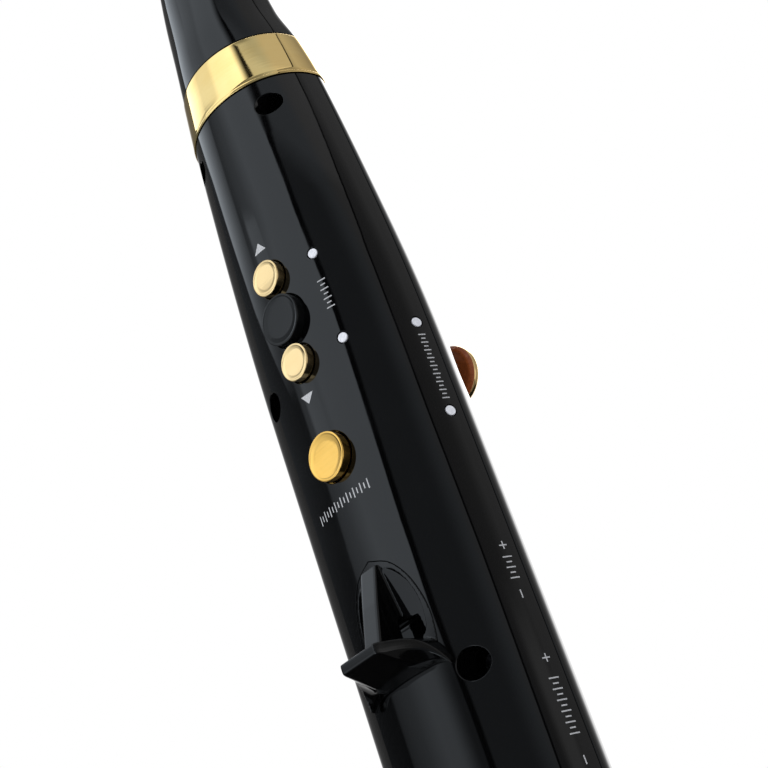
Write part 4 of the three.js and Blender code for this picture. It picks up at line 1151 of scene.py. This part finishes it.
def rule_tree(name, sizes):
    """A new tree of geometry nodes with named inputs, and its row of inputs."""
    tree = bpy.data.node_groups.new(name, "GeometryNodeTree")
    tree.is_modifier = True
    for way in ("INPUT", "OUTPUT"):
        tree.interface.new_socket("Geometry", in_out=way, socket_type="NodeSocketGeometry")
    for label, start in sizes.items():
        kind = "NodeSocketInt" if isinstance(start, int) else "NodeSocketFloat"
        tree.interface.new_socket(label, in_out="INPUT", socket_type=kind).default_value = start
    tree.interface.new_socket("Finish", in_out="INPUT", socket_type="NodeSocketMaterial")
    return tree, tree.nodes.new("NodeGroupInput").outputs


def set_out(tree, points, piece, finish, **more):
    """Ends a tree: the piece at every point, made real and given its finish."""
    placed = add_node(tree, "GeometryNodeInstanceOnPoints", {"Points": points, "Instance": piece, **more})
    real = add_node(tree, "GeometryNodeRealizeInstances", {"Geometry": placed.outputs["Instances"]})
    done = add_node(tree, "GeometryNodeSetMaterial", {"Geometry": real.outputs[0], "Material": finish})
    tree.links.new(done.outputs[0], tree.nodes.new("NodeGroupOutput").inputs["Geometry"])
    return tree


def face_rear(tree, geometry):
    """Geometry turned a quarter round X, so that its upper side faces the rear."""
    turning = {"Geometry": geometry, "Rotation": (math.pi / 2, 0, 0)}
    return add_node(tree, "GeometryNodeTransform", turning).outputs["Geometry"]


def tick_tree():
    """Geometry nodes that lay out a row of ticks, every few of them longer."""
    sizes = {"Count": 9, "Every": 3, "Pitch": 1.5, "Short": 2.0, "Long": 3.2, "Width": 0.45}
    tree, given = rule_tree("tick_row", sizes)
    maths = partial(calculate, tree)
    step = add_node(tree, "ShaderNodeCombineXYZ", {"Z": given["Pitch"]})
    row = add_node(tree, "GeometryNodeMeshLine", {"Count": given["Count"], "Offset": step.outputs[0]})
    tick = add_node(tree, "GeometryNodeMeshGrid", {
        "Size X": 1.0, "Size Y": given["Width"], "Vertices X": 7, "Vertices Y": 2})
    index = add_node(tree, "GeometryNodeInputIndex").outputs[0]
    is_long = maths("LESS_THAN", maths("MODULO", index, given["Every"]), 0.5)
    length = maths("MULTIPLY_ADD", maths("SUBTRACT", given["Long"], given["Short"]), is_long, given["Short"])
    scale = add_node(tree, "ShaderNodeCombineXYZ", {"X": length, "Y": 1.0, "Z": 1.0})
    upright = face_rear(tree, tick.outputs["Mesh"])
    return set_out(tree, row.outputs["Mesh"], upright, given["Finish"], Scale=scale.outputs[0])


def grown_mesh(tree, start, **values):
    """The mesh that a geometry tree makes of a start mesh with the given inputs."""
    holder = linked("draft", start)
    modifier = holder.modifiers.new("rule", "NODES")
    modifier.node_group = tree
    keys = {item.name: item.identifier for item in tree.interface.items_tree if item.in_out == "INPUT"}
    for name, value in values.items():
        modifier[keys[name.replace("_", " ")]] = value
    return finished(holder)


def tick_shape(tree, centre, turn, **values):
    """A row of ticks centred on a place, running up the body, or along its section when it is turned."""
    mesh = grown_mesh(tree, draft_mesh([], []), Finish=PRINT_SILVER, **values)
    points = np.array([[v.co.x, v.co.z] for v in mesh.vertices])
    points -= (points.max(0) + points.min(0)) / 2
    turning = np.array([[math.cos(turn), -math.sin(turn)], [math.sin(turn), math.cos(turn)]])
    return points @ turning.T + centre, [list(face.vertices) for face in mesh.polygons]


def make_prints():
    """Arrow heads, plus and minus signs, and plain tick scales where the object has its words."""
    ticks = tick_tree()
    key_turn = -math.acos(KEY_WINDOW_X / HALF_WIDTH)
    side_turn, _ = window_place("side_light_upper")

    def scale(turn, z, count, pitch, short, long, centre=(0, 0), tilt=0.0):
        return ink(turn, z, tick_shape(ticks, centre, tilt, Count=count, Pitch=pitch, Short=short, Long=long,
                                       Every=2, Width=STROKE))

    rear = [ink(REAR_CENTRE, 324, triangle(*ARROW_UP)),
            ink(REAR_CENTRE, 279, triangle(*ARROW_DOWN)),
            scale(REAR_CENTRE, 250.2, 17, 1.18, 1.5, 2.6, (-2, 0), math.pi / 2),
            scale(key_turn, 300.9, 7, 1.35, 1.3, 2.3)]
    side = [scale(side_turn, 272.2, 17, 1.13, 1.2, 2.0),
            scale(side_turn, 218.4, 5, 1.3, 1.4, 2.4),
            scale(side_turn, 185.5, 11, 1.26, 1.5, 2.6)]
    across, upright = stroke(0), stroke(math.pi / 2)
    side += [ink(side_turn, z, across, upright) for z in PLUS_Z]
    side += [ink(side_turn, z, upright) for z in MINUS_Z]
    add_piece("rear_prints", film(rear), PRINT_SILVER, sharp=60)
    add_piece("side_prints", film(side), PRINT_SILVER, sharp=60)


# Screws, switch knob and sockets
def screw_tree():
    """Geometry nodes that set a cross-head screw, its thread included, at every point of a mesh."""
    sizes = {"Head Radius": SCREW_HEAD_RADIUS, "Head Height": SCREW_HEAD_HEIGHT, "Shank Radius": 1.2,
             "Shank Length": 12.0, "Pitch": 1.0}
    tree, given = rule_tree("screw_set", sizes)
    maths = partial(calculate, tree)
    head_radius, head_height = given["Head Radius"], given["Head Height"]
    shank_radius, shank_length = given["Shank Radius"], given["Shank Length"]

    def shifted(geometry, z):
        move = add_node(tree, "ShaderNodeCombineXYZ", {"Z": z}).outputs[0]
        moving = {"Geometry": geometry, "Translation": move}
        return add_node(tree, "GeometryNodeTransform", moving).outputs[0]

    head = add_node(tree, "GeometryNodeMeshCone", {
        "Vertices": 40, "Side Segments": 3, "Radius Top": maths("MULTIPLY", head_radius, 0.82),
        "Radius Bottom": head_radius, "Depth": head_height})
    carved = add_node(tree, "GeometryNodeMeshBoolean", {"Mesh 1": head.outputs["Mesh"]},
                      operation="DIFFERENCE")
    for across, upward in ((1.3, 0.26), (0.26, 1.3)):
        size = add_node(tree, "ShaderNodeCombineXYZ", {
            "X": maths("MULTIPLY", head_radius, across), "Y": maths("MULTIPLY", head_radius, upward),
            "Z": head_height})
        cube = add_node(tree, "GeometryNodeMeshCube", {"Size": size.outputs[0]})
        raised = shifted(cube.outputs["Mesh"], maths("MULTIPLY", head_height, 1.4))
        tree.links.new(raised, carved.inputs["Mesh 2"])
    shank = add_node(tree, "GeometryNodeMeshCylinder", {
        "Vertices": 24, "Radius": shank_radius, "Depth": shank_length})
    thread_length = maths("MULTIPLY", shank_length, 0.8)
    thread_line = add_node(tree, "GeometryNodeCurveSpiral", {
        "Resolution": 16, "Rotations": maths("DIVIDE", thread_length, given["Pitch"]),
        "Start Radius": shank_radius, "End Radius": shank_radius, "Height": thread_length})
    ridge = add_node(tree, "GeometryNodeCurvePrimitiveCircle", {"Resolution": 4, "Radius": 0.22})
    thread = add_node(tree, "GeometryNodeCurveToMesh", {
        "Curve": thread_line.outputs[0], "Profile Curve": ridge.outputs[0], "Fill Caps": True})
    lowered = shifted(shank.outputs["Mesh"], maths("MULTIPLY", shank_length, -0.49))
    threaded = shifted(thread.outputs[0], maths("MULTIPLY", shank_length, -0.96))
    whole = tree.nodes.new("GeometryNodeJoinGeometry")
    for part in (carved.outputs["Mesh"], lowered, threaded):
        tree.links.new(part, whole.inputs[0])
    return set_out(tree, given["Geometry"], face_rear(tree, whole.outputs[0]), given["Finish"])


def make_shell_screws():
    middle = RECESS_FLOOR - GAP - SCREW_HEAD_HEIGHT / 2
    points = [(x, middle, z) for x, z, _ in SHELL_SCREWS.values()]
    mesh = grown_mesh(screw_tree(), draft_mesh(points, []), Shank_Length=SCREW_TIP - middle,
                      Finish=BLACK_STEEL)
    add_piece("shell_screws", mesh, BLACK_STEEL, nodes=list(SHELL_SCREWS))


def make_power_knob():
    def upright_block(half, low, high, *radius):
        return block([-half[0], low, POWER_Z - half[1]], [half[0], high, POWER_Z + half[1]], *radius)

    face = float(surface_y(0, POWER_Z, -1)) - KNOB_RISE
    pad = upright_block(KNOB_HALF, face, -13, 0.3)
    slider = upright_block(SLIDER_HALF, *SLIDER_Y)
    grooves = []
    for offset in (-1.3, 0, 1.3):
        groove = rod(0.32, -3, 3, 0, 0, axis="z")
        place = Matrix.Translation((0, face, POWER_Z + offset))
        groove.transform(place @ Matrix.Rotation(math.pi / 2, 4, "Y"))
        grooves.append(groove)
    add_piece("power_switch_cap", combine(pad, joined=[slider], cut=grooves), BODY_BLACK,
              "power_switch_knob", ["power_switch_knob"])


def make_headphone_socket():
    profile = rounded([[1.8, -10], [1.8, -17.1], [2.3, -17.4], [JACK_RADIUS - 0.2, -17.4],
                       [JACK_RADIUS, -17.1], [JACK_RADIUS, SOCKET_BACK]], 0.15)
    socket = turned([[0, -10], [1.2, -10], *profile, [0, SOCKET_BACK]], 0, JACK_Z)
    add_piece("headphone_socket_ring", socket, BLACK_STEEL, nodes=["headphone_socket"])


def make_charging_socket():
    def rounded_slab(half_x, half_z, low, high, corner):
        corners = rectangle(-half_x, half_x, SOCKET_Z - half_z, SOCKET_Z + half_z)
        outline = rounded(corners, corner, 8, closed=True)
        return loft([laid(outline, low), laid(outline, high)])

    shell = rounded_slab(4.5, 1.6, -16.6, SOCKET_BACK, 1.5)
    mouth = rounded_slab(4.15, 1.25, -20, SOCKET_BACK - 1.6, 1.2)
    tongue = rounded_slab(3.2, 0.35, -16, SOCKET_BACK - 1, 0.2)
    hollow = combine(shell, cut=[mouth])
    add_piece("charging_socket_shell", hollow, STEEL, nodes=["charging_socket"])
    add_piece("charging_socket_tongue", tongue, MATT_BLACK)


# Finishes of the pieces that keep their CAD shape
CARRIED = {
    "circuit_green": CIRCUIT_GREEN,
    "steel": STEEL,
    "black_steel": BLACK_STEEL,
    "battery_wrap": BATTERY_BLUE,
    "matt_black": MATT_BLACK,
    "red_wire": RED_WIRE,
    "grey_wire": GREY_WIRE,
    "clear_silicone": SILICONE,
    "black_rubber": SEAL_RUBBER,
}


def finish_carried_nodes():
    for part in frame["record"]["subparts"]:
        node = frame["nodes"][part["node"]]
        if node.hide_render:
            continue
        for slot in node.material_slots:
            slot.material = CARRIED[part["material_slot"]]
        if not node.material_slots:
            node.data.materials.append(CARRIED[part["material_slot"]])


# Camera fitted to the photograph: its place in metres, its directions, its lens in millimetres
CAMERA_PLACE = (0.21852, -0.26107, 0.11132)
CAMERA_FORWARD = (-0.5608, 0.6958, 0.4486)
CAMERA_UP = (0.531, -0.1135, 0.8398)
LENS = 70.3125
SENSOR = 36


def make_camera():
    forward = Vector(CAMERA_FORWARD).normalized()
    right = forward.cross(Vector(CAMERA_UP)).normalized()
    up = right.cross(forward)
    turn = Matrix((right, up, -forward)).transposed()
    data = bpy.data.cameras.new("camera")
    data.lens = LENS
    data.sensor_width = SENSOR
    data.clip_start = 0.01
    camera = linked("camera", data)
    camera.matrix_world = Matrix.Translation(CAMERA_PLACE) @ turn.to_4x4()
    bpy.context.scene.camera = camera


def curve_value(tree, value, points):
    """Value read off a line of (value, result) points, both spread over 0..1 inside the curve."""
    low, high = points[0][0], points[-1][0]
    results = [result for _, result in points]
    bottom, reach = min(results), max(results) - min(results)
    node = add_node(tree, "ShaderNodeFloatCurve", {"Value": between(tree, value, low, high, smooth=False)})
    curve = node.mapping.curves[0]
    spread = [((at - low) / (high - low), (result - bottom) / reach) for at, result in points]
    curve.points[0].location = spread[0]
    curve.points[1].location = spread[-1]
    for place in spread[1:-1]:
        curve.points.new(*place)
    for point in curve.points:
        point.handle_type = "VECTOR"
    node.mapping.update()
    return calculate(tree, "MULTIPLY_ADD", node.outputs[0], reach, bottom)


# Studio in degrees of azimuth and elevation: panel edges that lean as they rise, and each panel's level
STUDIO_STRENGTH = 1.3
EVEN_LIGHT = 0.75
COOL_TINT = (0.84, 0.92, 1.0)
COOL_END = (-40, -20)
UNLIT = 0.01
LINE_DARK = 0.02
LINE_HALF = 1.5
SIDE_GLOW = 0.38
FLOOR_LEVEL = 0.12
PANEL_EDGE = [(-10, -78), (8, -82), (10.5, -95), (13.7, -95), (18, -97), (21.6, -96), (27.5, -91.7),
              (33.5, -86.5), (39.5, -79), (43, -74), (48, -76), (60, -76)]
PANEL_SOFTNESS = [(0, 18), (8, 16), (11, 2), (20, 1.2), (38, 1.2), (41, 12), (49, 14), (60, 16)]
LINE_WIDTH = [(0, 5), (38, 5), (41, 12), (45, 12), (49, 5), (60, 5)]
PANEL_LEVEL = [(-150, 0.24), (-141, 0.42), (-135, 0.53), (-129, 0.75), (-121, 1.04), (-98, 1.12),
               (-76, 1.28)]
STRIP_EDGE = [(0, -152), (27, -152), (30, -163), (33, -167), (36, -171), (40, -184), (60, -190)]
STRIP_LEVEL = [(0, 0.05), (27, 0.08), (30, 0.78), (33, 1.4), (37, 1.7), (42, 1.9), (50, 1.2), (60, 0.7)]
STRIP_FOOT = [(0, 0.1), (27, 0.1), (30, 0.34), (37, 0.34), (41, 0.75), (46, 0.75), (50, 0.4), (60, 0.4)]
STRIP_RIGHT = -142
LINE_PLACE = [(10, -30), (15.4, -27.2), (19.4, -25.6), (25.5, -26.8), (30.7, -25.4), (34.7, -22.1),
              (38.5, -12.9), (45, 5.8), (55, 20)]
GAP_LEVEL = [(0, 0.18), (37, 0.18), (40, 0.5), (46, 0.5), (50, 0.2), (60, 0.2)]
RIGHT_LEVEL = [(-30, 0.17), (0, 0.21), (22, 0.35), (46, 0.27), (62, 0.2), (72, 0.45), (78, 1.2), (84, 3.3),
               (100, 3.3), (110, 2.6), (122, 1.5), (132, 0.9), (146, 0.25), (158, 0.1), (180, 0.1)]
LOWER_LEVEL = [(-180, 0.3), (-150, 0.2), (-128, 0.9), (-85, 1.0), (-74, 0.12), (-30, 0.2), (0, 0.6),
               (30, 0.6), (50, 0.2), (80, 0.25), (100, 0.9), (140, 0.9), (160, 0.3), (180, 0.3)]

# Soft lights in the studio: left, right, low and high edge, each with its softness
PANE = ((-14, 16), (12, 14), (-120, 1), (16.5, 5))
BEHIND = ((-140, 6), (-124, 6), (23.5, 2), (33.5, 2))
LOW_LIGHT = ((-140, 10), (-95, 10), (-56, 6), (-36, 6))
PANEL_LOW_END = ((-106, 16), (400, 1), (9, 2), (17, 4))
PANE_LEVEL = 0.5
BEHIND_LEVEL = 0.95
LOW_LIGHT_LEVEL = 1.7
PANEL_LOW_LEVEL = 0.16

# Ramps by height: from, to, value below and value above
PANEL_SHIFT = (30, 33.5, 0, 6)
PANEL_DIMMING = (15, 20, 0.76, 1)
PANEL_TOP = (38, 41, 0, 0.8)
PANEL_LEFT = (14, 24, -151, -145)
WALL_LEVEL = (15, 25, 0.04, 0.09)

# Edges with their softness: by azimuth the glow at the side and the unlit far side, by height the rest
GLOW_EDGE = (-46, 26)
FAR_RIGHT = (60, 10)
FAR_LEFT = (-165, 10)
HORIZON = (-2, 8)
FAR_LOW = (-25, 8)
FLOOR_EDGE = (-32, 10)
STRAIGHT_DOWN = (-68, 6)


def studio_level(tree, azimuth, elevation):
    """Brightness of the studio in each direction: soft panels, gaps between them and a low light."""
    maths = partial(calculate, tree)

    def blend(first, second, share):
        return maths("MULTIPLY_ADD", maths("SUBTRACT", second, first), share, first)

    def past(edge, soft, value=azimuth):
        return between(tree, maths("DIVIDE", maths("SUBTRACT", value, edge), soft), -0.5, 0.5)

    def before(edge, soft, value=azimuth):
        return maths("SUBTRACT", 1, past(edge, soft, value))

    def inside(left, right, low, high):
        across = maths("MULTIPLY", past(*left), before(*right))
        return maths("MULTIPLY", across, maths("MULTIPLY", past(*low, elevation), before(*high, elevation)))

    def by_height(points):
        return curve_value(tree, elevation, points)

    def ramp(bounds):
        return between(tree, elevation, *bounds)

    panel_edge, strip_edge, line_place = [by_height(edge) for edge in (PANEL_EDGE, STRIP_EDGE, LINE_PLACE)]
    along_strip = between(tree, azimuth, strip_edge, STRIP_RIGHT, smooth=False)
    strip = blend(by_height(STRIP_LEVEL), by_height(STRIP_FOOT), along_strip)
    shifted = maths("SUBTRACT", azimuth, ramp(PANEL_SHIFT))
    panel = maths("MULTIPLY", curve_value(tree, shifted, PANEL_LEVEL), ramp(PANEL_DIMMING))
    panel = blend(panel, PANEL_LOW_LEVEL, inside(*PANEL_LOW_END))
    panel = maths("MAXIMUM", panel, ramp(PANEL_TOP))
    level = blend(ramp(WALL_LEVEL), strip, past(strip_edge, 2))
    level = blend(level, panel, past(ramp(PANEL_LEFT), 3))
    level = blend(level, UNLIT, past(panel_edge, by_height(PANEL_SOFTNESS)))
    line_end = maths("ADD", panel_edge, by_height(LINE_WIDTH))
    level = blend(level, by_height(GAP_LEVEL), past(line_end, 3))
    level = blend(level, maths("MAXIMUM", level, SIDE_GLOW), past(*GLOW_EDGE))
    right = blend(curve_value(tree, azimuth, RIGHT_LEVEL), PANE_LEVEL, inside(*PANE))
    level = blend(level, LINE_DARK, past(maths("SUBTRACT", line_place, LINE_HALF), 1))
    level = blend(level, right, past(maths("ADD", line_place, LINE_HALF), 1.5))
    level = maths("MAXIMUM", level, maths("MULTIPLY", inside(*BEHIND), BEHIND_LEVEL))
    level = blend(curve_value(tree, azimuth, LOWER_LEVEL), level, past(*HORIZON, elevation))
    level = blend(level, FLOOR_LEVEL, before(*FLOOR_EDGE, elevation))
    far_side = maths("MAXIMUM", past(*FAR_RIGHT), before(*FAR_LEFT))
    dark = maths("MULTIPLY", before(*FAR_LOW, elevation), far_side)
    level = blend(level, UNLIT, maths("MAXIMUM", dark, before(*STRAIGHT_DOWN, elevation)))
    return maths("MULTIPLY", blend(level, LOW_LIGHT_LEVEL, inside(*LOW_LIGHT)), STUDIO_STRENGTH)


def make_world():
    """White for the camera and clear pieces, the studio for reflections, an even light for the rest."""
    world = bpy.data.worlds.new("studio")
    bpy.context.scene.world = world
    world.use_nodes = True
    tree = world.node_tree
    tree.nodes.clear()
    maths = partial(calculate, tree)
    direction = add_node(tree, "ShaderNodeTexCoord").outputs["Generated"]
    parts = add_node(tree, "ShaderNodeSeparateXYZ", {"Vector": direction}).outputs
    azimuth = maths("DEGREES", maths("ARCTAN2", parts["Y"], parts["X"]))
    elevation = maths("DEGREES", maths("ARCSINE", parts["Z"]))
    rays = add_node(tree, "ShaderNodeLightPath").outputs
    clear = maths("MAXIMUM", rays["Is Camera Ray"], rays["Is Transmission Ray"])
    glossy = maths("MULTIPLY", rays["Is Glossy Ray"], maths("SUBTRACT", 1.0, clear))
    strength = EVEN_LIGHT
    for share, level in ((glossy, studio_level(tree, azimuth, elevation)), (clear, 1.0)):
        strength = maths("MULTIPLY_ADD", maths("SUBTRACT", level, strength), share, strength)
    cool_side = maths("SUBTRACT", 1.0, between(tree, azimuth, *COOL_END))
    color = mixed_color(tree, maths("MULTIPLY", glossy, cool_side), (1, 1, 1), COOL_TINT)
    light = add_node(tree, "ShaderNodeBackground", {"Color": color, "Strength": strength})
    target = add_node(tree, "ShaderNodeOutputWorld")
    tree.links.new(light.outputs[0], target.inputs["Surface"])


def make_lamps():
    """Soft lamps for shape and shadow; the panels that show in the gloss are in the world."""
    lamps = {
        "key_lamp": ((-0.9, -1.1, 1.3), 1.0, 24.0),
        "fill_lamp": ((1.2, -0.7, 0.8), 1.2, 3.0),
        "back_lamp": ((0.3, 1.3, 1.1), 1.0, 6.0),
    }
    middle = Vector((0, 0, TOTAL_LENGTH / 2 * MM))
    for name, (place, size, power) in lamps.items():
        data = bpy.data.lights.new(name, "AREA")
        data.size = size
        data.energy = power
        lamp = linked(name, data)
        lamp.location = place
        lamp.rotation_euler = (middle - Vector(place)).to_track_quat("-Z", "Y").to_euler()
        lamp.visible_glossy = False


def make_floor():
    """A pale round floor under the bell end."""
    radii = [0.0005, 0.4, 1.0, 2.0, 4.0]
    sides = 72
    below = -0.0002
    points = [(r * math.cos(t), r * math.sin(t), below) for r in radii for t in full_turn(sides)]
    faces = []
    for inner in range(0, (len(radii) - 1) * sides, sides):
        for i in range(sides):
            ahead = (i + 1) % sides
            faces.append([inner + i, inner + ahead, inner + sides + ahead, inner + sides + i])
    faces.append(list(range(sides)))
    mesh = draft_mesh(points, faces, "floor")
    material, tree, shader = new_finish("pale_floor")
    grain = use_effect(tree, GRAIN, Scale=300)
    pale = mixed_color(tree, grain["Speck"], (0.86, 0.86, 0.86), (0.89, 0.89, 0.89))
    set_shader(tree, shader, Base_Color=pale,
               Roughness=between(tree, grain["Speck"], 0, 1, 0.8, 0.9, smooth=False))
    mesh.materials.append(material)
    floor = linked("floor", mesh)
    floor.visible_glossy = False


make_camera()
make_world()
make_lamps()
make_floor()
make_rear_shell()
make_front_shell()
make_gold_ring()
make_bell_ring()
make_neck()
make_mouthpiece()
make_buttons()
make_keys()
make_thumb_hook()
make_windows()
make_prints()
make_shell_screws()
make_power_knob()
make_headphone_socket()
make_charging_socket()
finish_carried_nodes()

bpy.context.scene.view_settings.view_transform = "Standard"
